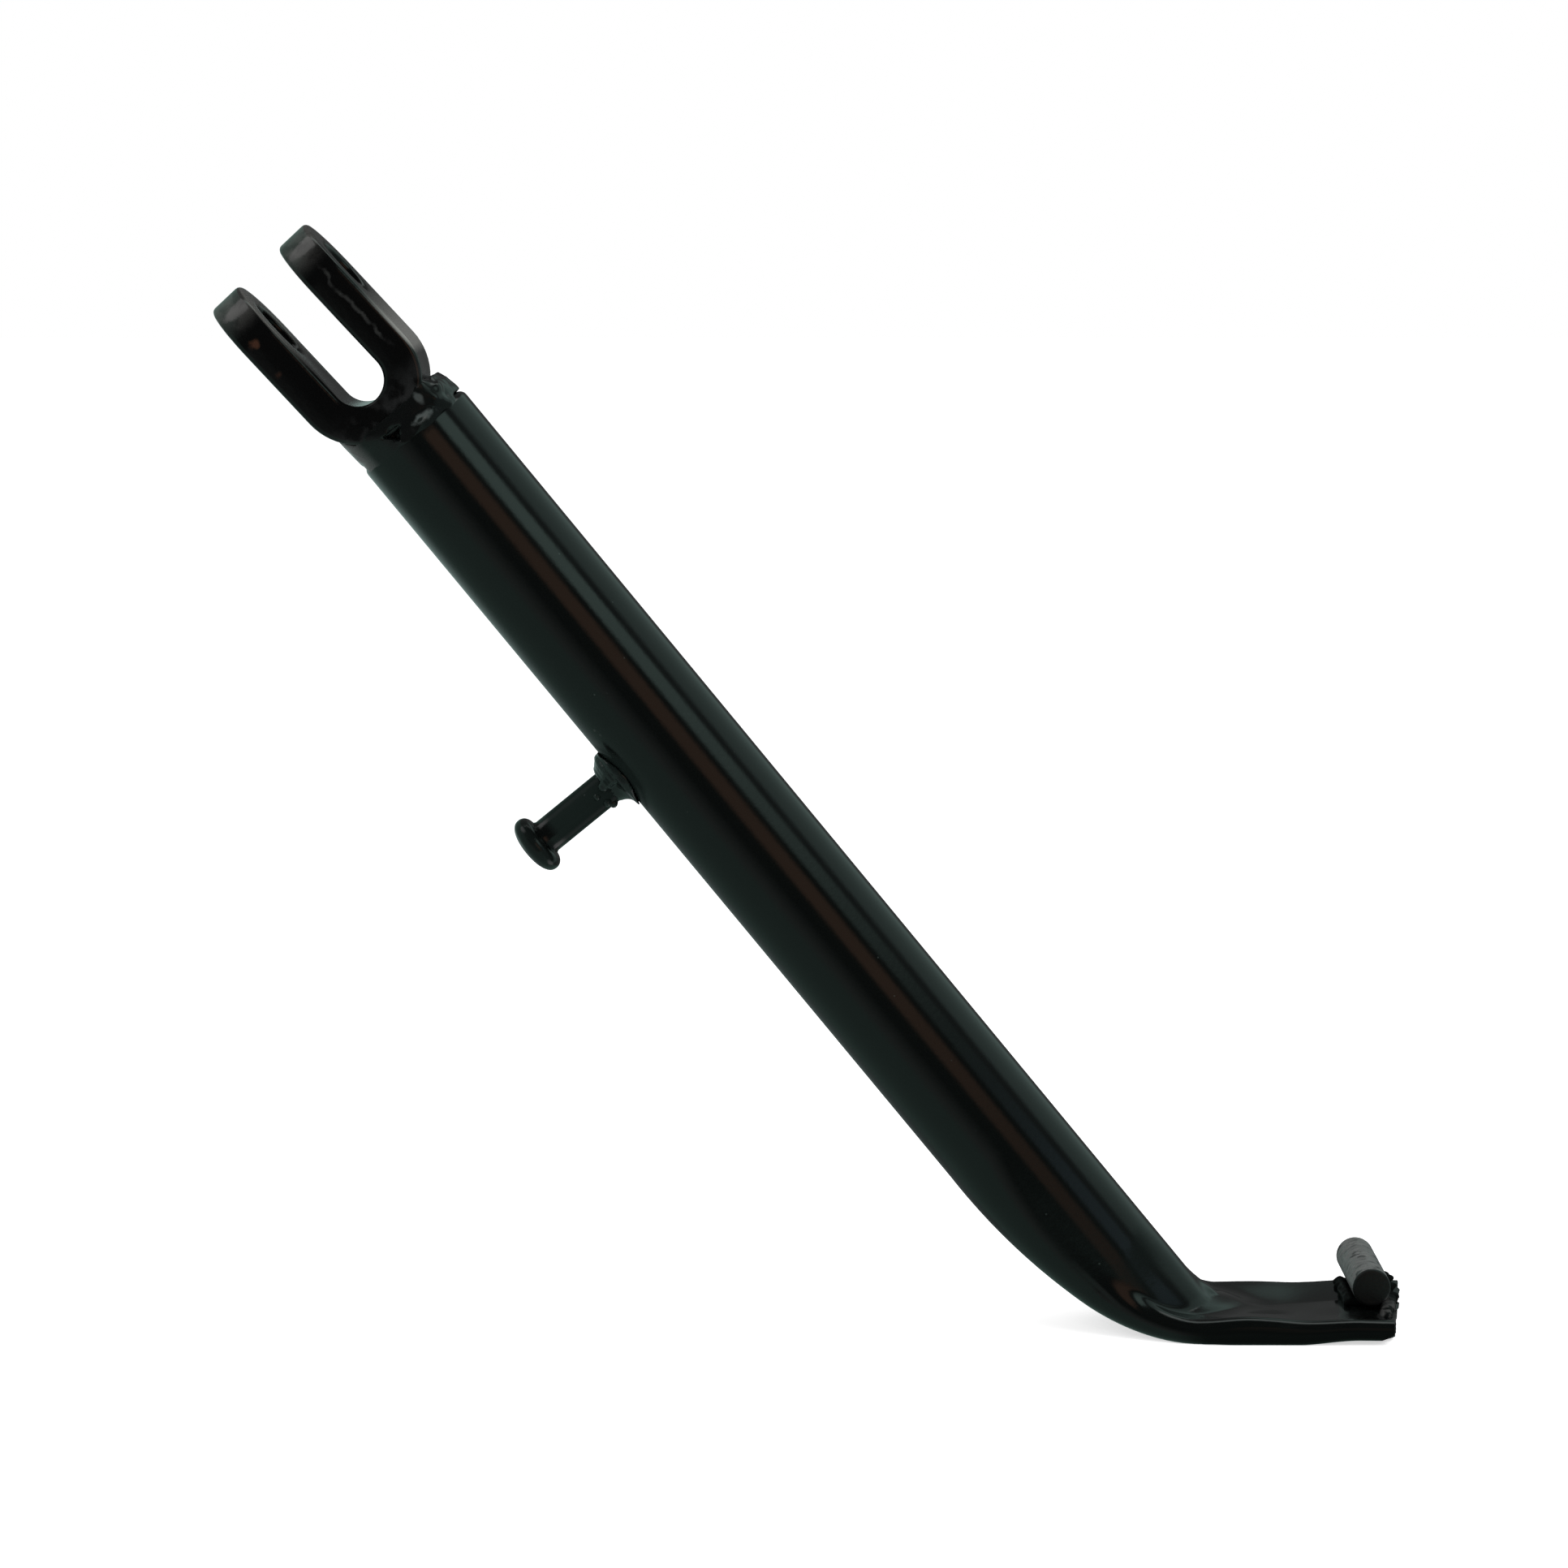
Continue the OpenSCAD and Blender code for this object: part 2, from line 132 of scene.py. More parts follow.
class FootSizes(bpy.types.PropertyGroup):
    """Sizes of the foot pressed from the end of the tube"""

    knee_radius: length("Knee radius", "Radius of the sole in the upper, gentle part of the bend", 140)
    knee_turn: angle("Knee turn", "Turn of the upper part of the bend", 16)
    bend_radius: length("Bend radius", "Radius of the sole in the lower part of the bend", 45)
    fillet: length("Fillet", "Rounding between the round leg and the near side of the foot", 3.6)
    far_fillet: length("Far fillet", "Rounding between the round leg and the far side of the foot", 11)
    spoon: length("Spoon", "Length of the hollow pressed under the round leg", 18)
    pinch: FloatProperty(name="Pinch", description="How early the bend is pressed flat", default=1.5)
    thickness: length("Thickness", "Thickness of the foot at the end of the bend", 6)
    end_thickness: length("End thickness", "Thickness of the foot at its cut end", 5)
    reach: length("Reach", "Length of the foot past the bend", 46.3)
    rise: length("Rise", "Rise of the sole towards the cut end", 1.2)
    trough: length("Trough", "Depth of the trough pressed along the foot", 1.5)
    skew: angle("Skew", "Skew of the cut end", 8)
    wear: length("Wear", "Depth worn off the sole", 0.3)


class PegSizes(bpy.types.PropertyGroup):
    """Sizes of the spring peg"""

    drop: length("Drop", "Distance from the mouth of the tube to the peg", 88.5)
    radius: length("Radius", "Radius of the shank", 4)
    reach: length("Reach", "Length of the shank from the tube to the head", 21.6)
    head_radius: length("Head radius", "Radius of the head", 6.8)
    head_thickness: length("Head thickness", "Thickness of the head", 5.1)
    head_rim: length("Head rim", "Rounding of the head's inner rim", 2)
    stub: length("Stub", "Length of the shank inside the tube", 1.5)


class BarSizes(bpy.types.PropertyGroup):
    """Sizes of the toe bar"""

    radius: length("Radius", "Radius of the bar", 4.25)
    length: length("Length", "Length of the bar", 33)
    edge: length("Edge", "Rounding of the bar's ends", 0.7)
    dent: length("Dent", "Depth of the hammer marks on the bar", 0.25)


class WeldLooks(bpy.types.PropertyGroup):
    """How lumpy the weld runs are"""

    grain: length("Grain", "Size of the finest lump kept in a weld", 0.35)
    swell: length("Swell", "How far a weld stands over its plain form", 0.25)
    lump: length("Lump", "Height of the lumps", 0.55)


class PaintLooks(bpy.types.PropertyGroup):
    """Colours and gloss of the paint"""

    gloss: colour("Gloss paint", "Colour of the paint on the tube", (0.0025, 0.0032, 0.003))
    satin: colour("Satin paint", "Colour of the paint on the fork", (0.002, 0.0021, 0.0021))
    peg: colour("Peg paint", "Colour of the duller paint on the peg", (0.007, 0.011, 0.0098))
    bar: colour("Bar paint", "Colour of the thin paint on the toe bar", (0.115, 0.12, 0.117))
    weld: colour("Weld paint", "Colour of the paint on the welds", (0.003, 0.0036, 0.0035))
    gloss_rough: amount("Gloss roughness", "Roughness of the paint on the tube", 0.13)
    satin_rough: amount("Satin roughness", "Roughness of the paint on the fork", 0.16)


class Studio(bpy.types.PropertyGroup):
    """Camera and surroundings"""

    eye: FloatVectorProperty(
        name="Eye", description="Place of the camera", default=(0.10611, -1.04102, 0.03248),
        subtype="TRANSLATION", unit="LENGTH", size=3)
    pitch: angle("Pitch", "How far the camera looks down", 7.5)
    lens: FloatProperty(
        name="Lens", description="Focal length in millimetres", default=108.59, unit="CAMERA")
    tent_radius: length("Tent radius", "Radius of the reflection tent round the leg", 900)


class SideStand(bpy.types.PropertyGroup):
    """Every size and colour of the side stand"""

    fork: PointerProperty(type=ForkSizes)
    leg: PointerProperty(type=LegSizes)
    foot: PointerProperty(type=FootSizes)
    peg: PointerProperty(type=PegSizes)
    bar: PointerProperty(type=BarSizes)
    weld: PointerProperty(type=WeldLooks)
    paint: PointerProperty(type=PaintLooks)
    studio: PointerProperty(type=Studio)


def sizes(context):
    return context.scene.side_stand


def fork_frame(stand):
    """Pivot at the origin, x along the pivot, z towards the tips of the ears."""
    return Matrix.Rotation(-stand.fork.lean, 4, "Y")


def mouth_point(stand):
    lean, tilted = stand.leg.lean, stand.fork.lean
    drop = stand.leg.mouth_drop * Vector((math.sin(tilted), 0, -math.cos(tilted)))
    return drop + stand.leg.shift * Vector((math.cos(lean), 0, math.sin(lean)))


def leg_frame(stand):
    """Mouth of the tube at the origin, z back up the leg, -x on the peg's side."""
    return Matrix.Translation(mouth_point(stand)) @ Matrix.Rotation(-stand.leg.lean, 4, "Y")


def peg_frame(stand):
    """Middle of the tube at the origin, z out along the peg."""
    drop = Matrix.Translation((0, 0, -stand.peg.drop))
    return leg_frame(stand) @ drop @ Matrix.Rotation(-QUARTER, 4, "Y")


def smoothstep(low, high, value):
    t = min(max((value - low) / (high - low), 0), 1)
    return t * t * (3 - 2 * t)


def smooth_mm(low, high, value):
    """Smoothstep with both ends in millimetres."""
    return smoothstep(low * MM, high * MM, value)


def added(name, data):
    """Object with this data in the scene."""
    made = bpy.data.objects.new(name, data)
    bpy.context.scene.collection.objects.link(made)
    return made


def mesh_of(name, bm):
    mesh = bpy.data.meshes.new(name)
    bm.to_mesh(mesh)
    bm.free()
    return mesh


def piece(name, bm, material, slot, *nodes):
    """Makes a bmesh into a smooth piece of the stand that stands for these CAD nodes."""
    bmesh.ops.recalc_face_normals(bm, faces=bm.faces)
    mesh = mesh_of(name, bm)
    mesh.polygons.foreach_set("use_smooth", [True] * len(mesh.polygons))
    mesh.set_sharp_from_angle(angle=SHARP_ANGLE)
    mesh.materials.append(material)
    made = added(name, mesh)
    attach(made, "root")
    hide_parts(*nodes)


def rolled_sheet(bm, rings):
    """Rolls a flat grid into a tube through these rings of points and returns its first and last loop."""
    around, last = len(rings[0]), len(rings) - 1
    made = bmesh.ops.create_grid(bm, x_segments=around, y_segments=last, size=0.5)["verts"]
    loops = {0: [], last: []}
    for v in made:
        i = round((v.co.x + 0.5) * around)
        j = round((v.co.y + 0.5) * last)
        v.co = rings[j][i % around]
        if j in loops and i < around:
            loops[j].append((i, v))
    seam = [v for v in made if v.is_boundary]
    bmesh.ops.remove_doubles(bm, verts=seam, dist=NEAR / 10)
    return [[v for _, v in sorted(loop, key=lambda item: item[0]) if v.is_valid] for loop in loops.values()]


def loop_edges(loop):
    inside = set(loop)
    edges = (e for v in loop for e in v.link_edges if e.other_vert(v) in inside and e.is_boundary)
    return list(dict.fromkeys(edges))


def join_rims(bm, rim, goal):
    """Joins two loops by a row of faces between points of the same number."""
    made = bmesh.ops.extrude_edge_only(bm, edges=loop_edges(rim))["geom"]
    fresh = {v for v in made if isinstance(v, bmesh.types.BMVert)}
    pairs = {}
    for v, end in zip(rim, goal, strict=True):
        moved = next(e.other_vert(v) for e in v.link_edges if e.other_vert(v) in fresh)
        pairs[moved] = end
    bmesh.ops.weld_verts(bm, targetmap=pairs)


def turn_profile(bm, profile):
    """Spins a profile of (radius, height) points round the z axis."""
    points = [bm.verts.new((r, 0, z)) for r, z in profile]
    edges = [bm.edges.new(pair) for pair in zip(points, points[1:])]
    bmesh.ops.spin(
        bm, geom=points + edges, cent=(0, 0, 0), axis=(0, 0, 1), dvec=(0, 0, 0),
        angle=2 * math.pi, steps=ROUND_SEGMENTS, use_merge=True, use_duplicate=False)
    bmesh.ops.remove_doubles(bm, verts=bm.verts, dist=NEAR)


def flat_faces(bm, axis, height):
    """Faces that lie across an axis at this height."""
    return [f for f in bm.faces if all(abs(v.co[axis] - height) < NEAR for v in f.verts)]


def round_edges(bm, least, offset, clamp):
    """Rounds the edges where two faces meet at more than this angle in degrees."""
    sharp = [e for e in bm.edges if len(e.link_faces) == 2 and e.calc_face_angle() > math.radians(least)]
    bmesh.ops.bevel(
        bm, geom=sharp, offset=offset, offset_type="OFFSET", affect="EDGES", segments=4, profile=0.5,
        material=-1, clamp_overlap=clamp)


def settle(bm, factor):
    bmesh.ops.smooth_vert(
        bm, verts=bm.verts, factor=factor, use_axis_x=True, use_axis_y=True, use_axis_z=True)


def drop_crumbs(bm, least):
    """Deletes loose islands of fewer than this many points."""
    left, crumbs = set(bm.verts), []
    while left:
        island, front = set(), [left.pop()]
        while front:
            v = front.pop()
            island.add(v)
            fresh = {e.other_vert(v) for e in v.link_edges} & left
            left -= fresh
            front += fresh
        if len(island) < least:
            crumbs += island
    bmesh.ops.delete(bm, geom=crumbs, context="VERTS")


def lumps_at(place, rows):
    """Centres and radii of lumps from rows of x, y, z and radius in millimetres."""
    return [(place @ (Vector(row[:3]) * MM), row[3] * MM) for row in rows]


def node_grains(nodes, lumps, grain, rounds):
    """Copy of these CAD nodes, joined with round lumps, in even small faces that settle for some rounds."""
    bm = bmesh.new()
    for node in nodes:
        bm.from_mesh(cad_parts[node].data)
    bmesh.ops.remove_doubles(bm, verts=bm.verts, dist=NEAR)
    for centre, radius in lumps:
        bmesh.ops.create_icosphere(bm, subdivisions=3, radius=radius, matrix=Matrix.Translation(centre))
    rough = mesh_of("weld_blank", bm)
    blank = added("weld_blank", rough)
    grains = blank.modifiers.new("Grains", "REMESH")
    grains.mode = "VOXEL"
    grains.voxel_size = grain
    depsgraph = bpy.context.evaluated_depsgraph_get()
    even = bpy.data.meshes.new_from_object(blank.evaluated_get(depsgraph))
    bm = bmesh.new()
    bm.from_mesh(even)
    bpy.data.objects.remove(blank)
    for spent in (rough, even):
        bpy.data.meshes.remove(spent)
    drop_crumbs(bm, CRUMB_POINTS)
    for _ in range(rounds):
        settle(bm, 0.5)
    return bm


def lumpy(bm, swell, lump, scale, seed, share=None):
    """Swells a weld and covers it with lumps, of which a place gets its share."""
    bm.normal_update()
    moves = []
    for v in bm.verts:
        q = v.co * scale + Vector((seed, seed * 2, seed * 3))
        h = noise.noise(q) + 0.3 * noise.noise(q * 2.3)
        moves.append((v, v.normal * (swell + lump * h * (share(v.co) if share else 1))))
    for v, step in moves:
        v.co += step
    settle(bm, 0.3)


def soft_max(a, b, k):
    h = max(k - abs(a - b), 0) / k
    return max(a, b) + h * h * k / 4


def spread(points, count):
    """Points at even steps along an open line."""
    run = [0.0]
    for p, q in zip(points, points[1:]):
        run.append(run[-1] + math.dist(p, q))
    made, k = [], 0
    for n in range(count + 1):
        goal = run[-1] * n / count
        while k < len(run) - 2 and run[k + 1] < goal:
            k += 1
        t = (goal - run[k]) / max(run[k + 1] - run[k], 1e-12)
        made.append([p + (q - p) * t for p, q in zip(points[k], points[k + 1])])
    return made


# Point of the sole, way up, share of the bend that is left, half thickness and half width of the plate,
# and share of the foot that is passed.
Station = namedtuple("Station", "base up left thick wide u")


class Leg:
    """Sections of the leg from its mouth to the cut end of the foot.

    Each section is the union of two outlines on the sole: the round tube, which runs straight on, and a flat
    plate with round edges, which grows out of it in the bend and is all that is left in the foot.
    """

    # Points round a section, rays that find one half of it, and stations along each stretch.
    around, sweep = 160, 360
    rim_steps, straight_steps, bend_steps, foot_steps = 6, 50, 80, 60
    # Half height of the lining where the tube is pressed shut.
    slit = 0.15 * MM
    # Middle of the spoon past the instep and off the leg's middle, its half width and its depth.
    spoon_x, spoon_y, spoon_half, spoon_depth = -10.6 * MM, 1 * MM, 14 * MM, 4 * MM

    def __init__(self, stand):
        leg, foot = stand.leg, stand.foot
        self.leg, self.foot = leg, foot
        self.mouth = mouth_point(stand)
        self.turn = QUARTER - leg.lean
        self.heel = self.turn - foot.knee_turn
        self.sole_z = -leg.pivot_height
        self.across = Vector((math.cos(leg.lean), 0, math.sin(leg.lean)))
        self.down = Vector((math.sin(leg.lean), 0, -math.cos(leg.lean)))
        grow = foot.knee_radius - foot.bend_radius
        low_z = self.sole_z - foot.wear + foot.bend_radius
        gap = foot.knee_radius - leg.radius - grow * math.cos(foot.knee_turn)
        self.bend_x = self.beside(gap, low_z)
        self.low = Vector((self.bend_x, 0, low_z))
        self.high = self.low + grow * self.upward(self.heel)
        self.instep_x = self.beside(leg.radius, self.sole_z + foot.thickness)
        self.straight = (self.sole(self.turn) - self.mouth).dot(self.down)
        self.low_run = foot.bend_radius * self.heel
        self.bend_run = self.low_run + foot.knee_radius * foot.knee_turn
        turns = [QUARTER * k / self.rim_steps for k in range(self.rim_steps + 1)]
        stations = [self.straight_station(leg.mouth_edge * (1 - math.cos(a))) for a in turns]
        for k in range(1, self.straight_steps):
            stations.append(self.straight_station(self.straight * k / self.straight_steps))
        for k in range(self.bend_steps + 1):
            stations.append(self.bend_station(self.bend_run * (1 - k / self.bend_steps)))
        for k in range(self.foot_steps):
            stations.append(self.foot_station((k + 1) / self.foot_steps))
        self.skin = [self.ring(station, 0) for station in stations]
        self.lining = [self.ring(station, leg.wall) for station in stations]
        for ring, a in zip(self.skin, turns):
            middle = sum(ring, Vector()) / len(ring)
            slim = 1 - leg.mouth_edge * (1 - math.sin(a)) / leg.radius
            ring[:] = [middle + (p - middle) * slim for p in ring]

    def beside(self, off, z):
        """Where a line along the leg, this far off its middle, is at height z."""
        drop = z - self.mouth.z
        return self.mouth.x + (off - drop * math.sin(self.leg.lean)) / math.cos(self.leg.lean)

    def upward(self, psi):
        return Vector((math.sin(psi), 0, math.cos(psi)))

    def sole(self, psi):
        """Point of the sole where it slopes by psi."""
        if psi <= self.heel:
            return self.low - self.foot.bend_radius * self.upward(psi)
        return self.high - self.foot.knee_radius * self.upward(psi)

    def straight_station(self, s):
        radius = self.leg.radius
        return Station(self.mouth + s * self.down - radius * self.across, self.across, 1, radius, radius, 0)

    def bend_station(self, run):
        if run <= self.low_run:
            psi = run / self.foot.bend_radius
        else:
            psi = self.heel + (run - self.low_run) / self.foot.knee_radius
        left = run / self.bend_run
        half = self.foot.thickness / 2
        thick = half + (self.leg.radius - half) * left ** self.foot.pinch
        wide = self.spread_width(left, self.foot.thickness)
        return Station(self.sole(psi), self.upward(psi), left, thick, wide, 0)

    def foot_station(self, u):
        t = self.foot.thickness + (self.foot.end_thickness - self.foot.thickness) * u
        lift = self.foot.rise * smoothstep(0.46, 0.82, u)
        base = Vector((self.bend_x + self.foot.reach * u, 0, self.sole_z - self.foot.wear + lift))
        wide = self.spread_width(-self.foot.reach * u / self.bend_run, t)
        return Station(base, Vector((0, 0, 1)), 0, t / 2, wide, u)

    def spread_width(self, left, t):
        """Half width of the plate, which ends with the girth of the round tube."""
        full = math.pi / 4 * (2 * self.leg.radius - t) + t / 2
        return self.leg.radius + (full - self.leg.radius) * smoothstep(0.42, -0.12, left)

    def arch(self, at, radius, c, s):
        """Distance from the middle of the plate to the round tube, along (c, s)."""
        rise = self.across.dot(at.up)
        q = self.across.dot(at.base - self.mouth) + at.thick * rise
        inside = radius * radius - q * q
        if inside <= 0:
            return 0
        a, b = c * c + rise * rise * s * s, s * rise * q
        return (-b + math.sqrt(b * b + a * inside)) / a

    def plate(self, thick, wide, c, s):
        """Distance from the middle of the plate to its edge, along (c, s)."""
        flat = wide - thick
        if abs(s) > 1e-9 and thick / abs(s) * c <= flat:
            return thick / abs(s)
        return flat * c + math.sqrt(max(thick * thick - flat * flat * s * s, 0))

    def ring(self, at, wall):
        """Points of the skin at a station, or of the lining where a wall is given."""
        half = max(at.thick - wall, self.slit)
        far = self.half_ring(at, wall, half, 1)
        near = self.half_ring(at, wall, half, -1)
        skew = math.tan(self.foot.skew) * at.u * at.u
        made = []
        for y, h in far + near[-2:0:-1]:
            high = self.pressed(at, wall, half, y, h)
            p = at.base + high * at.up + Vector((y * skew + self.ragged(at, y, h), y, 0))
            if wall == 0:
                p.z = max(p.z, self.sole_z)
            made.append(p)
        return made

    def ragged(self, at, y, h):
        """How far the cut end runs past its line: burrs on top, a short lower lip at the near fold."""
        if at.u < 0.85:
            return 0
        burr = 0.25 * noise.noise(Vector((y * 700, h * 300, 4.2)))
        # In millimetres; a burr with a negative reach is a nick.
        for middle, breadth, out in ((12.2, 1.3, 0.6), (2.1, 1.2, 0.7), (-4, 3, -0.6), (-17, 3, -0.4)):
            burr += out * math.exp(-((y / MM - middle) / breadth) ** 2) * smoothstep(0.6, 1.2, h / at.thick)
        short = 3 * smooth_mm(-14, -19, y) * smoothstep(0.9, 0.1, h / at.thick)
        return (burr * smoothstep(0.955, 1, at.u) - short * smoothstep(0.85, 1, at.u)) * MM

    def half_ring(self, at, wall, half, side):
        """One side of a section, from its top to its bottom, as (y, height over the sole)."""
        wider = self.foot.far_fillet - self.foot.fillet
        points = []
        for k in range(self.sweep + 1):
            a = QUARTER - math.pi * k / self.sweep
            c, s = math.cos(a), math.sin(a)
            r = self.plate(half, at.wide - wall, c, s)
            if s >= 0 or at.left == 1:
                fillet = self.foot.fillet + wider * smoothstep(-0.6, 0.6, side * c)
                tube = self.arch(at, self.leg.radius - wall, c, s)
                blend = min(fillet * (1 - at.left) ** 2, r + 2 * tube)
                r = soft_max(r, tube, blend + NEAR)
            points.append((side * r * c, at.thick + r * s))
        return spread(points, self.around // 2)

    def pressed(self, at, wall, half, y, h):
        """Height over the sole after the press: spoon under the leg, trough along the foot, wavy bead."""
        run = at.base.x + h * at.up.x - self.instep_x
        press = smoothstep(0.4, 0.1, at.left)
        if h > at.thick and press > 0:
            flat = at.wide - at.thick
            out = math.hypot((run - self.spoon_x) / self.foot.spoon, (y - self.spoon_y) / self.spoon_half)
            edge = max(abs(y) - flat, 0)
            top = at.thick + math.sqrt(max(half * half - edge * edge, 0))
            h = max(h, top + self.spoon_depth * (1 - out) * press)
            line = 1 * MM + 4 * MM * smooth_mm(7, 20, run)
            side = flat - line if y > line else flat + line
            dip = max(1 - abs(y - line) / side, 0) ** 0.9
            h -= self.foot.trough * dip * press * smoothstep(-0.2, 0.35, out - 1)
            h = max(h, wall + 0.3 * MM if wall else 0)
        # The near bead is highest 7 mm past the instep, and the far rim 12 mm past it and beside the leg.
        crest = 9 * MM if run < 7 * MM else 14 * MM
        bead = 0.2 * math.exp(-((run - 7 * MM) / crest) ** 2) - 0.07
        rim = 0.08 * math.exp(-((run - 12 * MM) / (10 * MM)) ** 2) + 0.2 * smooth_mm(2, -4, run)
        return h * (1 + (bead * smooth_mm(2, 13, -y) + rim * smooth_mm(6, 16, y)) * press)


class Graph:
    """Node tree whose nodes are made with their inputs fed by sockets or plain values."""

    def __init__(self, tree):
        self.tree = tree

    def feed(self, socket, value):
        if isinstance(value, bpy.types.NodeSocket):
            self.tree.links.new(value, socket)
        else:
            socket.default_value = value

    def node(self, kind, output, inputs=(), **settings):
        """Makes a node with these inputs, by name or number, and returns one of its outputs."""
        made = self.tree.nodes.new("ShaderNode" + kind)
        for name, value in settings.items():
            setattr(made, name, value)
        for key, value in dict(inputs).items():
            self.feed(made.inputs[key], value)
        return made.outputs[output]

    def maths(self, operation, *values):
        return self.node("Math", "Value", enumerate(values), operation=operation)

    def times(self, first, *others):
        for value in others:
            first = self.maths("MULTIPLY", first, value)
        return first

    def most(self, first, *others):
        for value in others:
            first = self.maths("MAXIMUM", first, value)
        return first

    def ranged(self, value, low, high, top=1.0, bottom=0.0, curve="SMOOTHSTEP"):
        """Share that goes from bottom at low to top at high."""
        inputs = {"Value": value, "From Min": low, "From Max": high, "To Min": bottom, "To Max": top}
        return self.node("MapRange", "Result", inputs, interpolation_type=curve)

    def span(self, value, low, high, top=1.0):
        """Ranged with both ends in millimetres."""
        return self.ranged(value, low * MM, high * MM, top)

    def cloud(self, where, scale, detail):
        return self.node("TexNoise", "Fac", {"Vector": where, "Scale": scale, "Detail": detail})

    def split(self, where):
        """Sockets x, y and z of a vector."""
        return self.node("SeparateXYZ", "X", {"Vector": where}).node.outputs

    def axes(self, where, place):
        """Coordinates in the frame that place leads to, as sockets x, y, z and the whole vector."""
        back = place.inverted()
        inputs = {"Vector": where, "Location": back.to_translation(), "Rotation": back.to_euler()}
        turned = self.node("Mapping", "Vector", inputs)
        return (*self.split(turned), turned)

    def away(self, where, spot):
        """Distance from a spot."""
        return self.node("VectorMath", "Value", {0: where, 1: spot}, operation="DISTANCE")

    def oval(self, where, spot, reach):
        """Distance from a spot in millimetres, counted as 1 at its reach along each axis."""
        scale = [1 / (r * MM) for r in reach]
        start = [-s / r for s, r in zip(spot, reach)]
        near = self.node("Mapping", "Vector", {"Vector": where, "Scale": scale, "Location": start})
        return self.node("VectorMath", "Value", {0: near}, operation="LENGTH")

    def speck(self, where, spot, radius, share):
        """Mask of a small patch with an uneven rim, in millimetres."""
        away = self.away(where, Vector(spot) * MM)
        uneven = self.maths("MULTIPLY_ADD", self.cloud(where, PATCHES, 4), 4 * MM, away)
        return self.span(uneven, radius + 2, radius + 1, share)

    def mix(self, share, under, over):
        """Colour that is covered by another one to this share."""
        return self.node("Mix", "Result", {"Factor": share, "A": under, "B": (*over, 1)}, data_type="RGBA")

    def ramp(self, value, stops):
        """Colour ramp through these (position, colour) stops."""
        shade = self.node("ValToRGB", "Color", {"Fac": value})
        elements = shade.node.color_ramp.elements
        for k, (place, hue) in enumerate(stops):
            stop = elements[k] if k < 2 else elements.new(place)
            stop.position = place
            stop.color = (*hue, 1)
        return shade

    def seen(self):
        """1 for the rays that show a thing to the camera, straight, by gloss or through glass."""
        rays = self.node("LightPath", "Is Camera Ray").node.outputs
        return self.most(*(rays["Is " + kind + " Ray"] for kind in ("Camera", "Glossy", "Transmission")))

    def surface(self, shader):
        """Shows this shader in place of the first one."""
        nodes = self.tree.nodes
        nodes.remove(nodes["Principled BSDF"])
        self.feed(nodes["Material Output"].inputs["Surface"], shader)


def new_material(name):
    """Material and the graph of its nodes."""
    material = bpy.data.materials.new(name)
    material.use_nodes = True
    return material, Graph(material.node_tree)


def painted(name, base, rough, peel, grain, marks_and_painted_light=None, sheen=0.5, dull=None):
    """Paint with a slight orange peel, uneven gloss and a few specks of dust.

    The colour function yields masks with the colours that lie over the paint there: marks of the paint
    itself, and painted highlights and shade. dull(graph, where) returns the mask of where its sheen is lost.
    """
    material, graph = new_material(name)
    where = graph.node("TexCoord", "Object")
    skin = {"Strength": peel, "Distance": 0.3 * MM, "Height": graph.cloud(where, grain, 3)}
    gloss = graph.cloud(where, GLOSS_CLOUDS, 5)
    dust = graph.node("TexVoronoi", "Distance", {"Vector": where, "Scale": DUST_CELLS})
    shade = graph.mix(graph.ranged(dust, 0.045, 0.02, curve="LINEAR"), (*base, 1), DUST)
    for mask, hue in marks_and_painted_light(graph, where) if marks_and_painted_light else ():
        shade = graph.mix(mask, shade, hue)
    inputs = {
        "IOR": 1.5,
        "Specular IOR Level": sheen,
        "Normal": graph.node("Bump", "Normal", skin),
        "Roughness": graph.ranged(gloss, 0.35, 0.7, rough * 1.25, rough * 0.85, "LINEAR"),
        "Base Color": shade,
    }
    if dull:
        inputs["Specular IOR Level"] = graph.maths("MULTIPLY_ADD", dull(graph, where), -sheen, sheen)
    shader = material.node_tree.nodes["Principled BSDF"]
    for key, value in inputs.items():
        graph.feed(shader.inputs[key], value)
    return material


class STAND_OT_leg(bpy.types.Operator):
    """Rolls the tube, presses its end flat and closes both rims"""

    bl_idname = "stand.leg"
    bl_label = "Leg tube"

    def execute(self, context):
        stand = sizes(context)
        leg = Leg(stand)
        bm = bmesh.new()
        skin = rolled_sheet(bm, leg.skin)
        lining = rolled_sheet(bm, leg.lining)
        for rim, goal in zip(skin, lining):
            join_rims(bm, rim, goal)
        bmesh.ops.recalc_face_normals(bm, faces=bm.faces)
        bm.normal_update()
        scuff = bm.verts.layers.float.new("scuff")
        for v in bm.verts:
            side = smooth_mm(-8, -15, v.co.y) * smoothstep(0.62, 0.4, v.normal.z)
            v[scuff] = 0.9 * side * smooth_mm(-12, -2, v.co.x - leg.instep_x)

        def burnt(graph, where):
            """Mask of a matt ring round the peg's collar."""
            turned = graph.axes(where, peg_frame(stand))[3]
            return graph.ranged(graph.oval(turned, (0, 0, 14), (10, 10, 12)), 1.2, 1, 0.9)

        def scuffed(graph, where):
            """Mask of the burnt ring and of the near edge of the foot."""
            return graph.most(graph.node("Attribute", "Fac", attribute_name="scuff"), burnt(graph, where))

        def scratched(graph, where):
            """Duller paint on the burnt ring and two small scratches."""
            yield burnt(graph, where), stand.paint.peg
            for spot in ((64.6, -9.2, -91.5), (65.8, -9.5, -92.4)):
                yield graph.speck(where, spot, 0.5, 0.5), SCRATCH

        paint = painted(
            "gloss_black_paint", stand.paint.gloss, stand.paint.gloss_rough, peel=0.05, grain=900,
            marks_and_painted_light=scratched, dull=scuffed)
        piece("leg", bm, paint, "gloss_paint", "leg_tube")
        return {"FINISHED"}


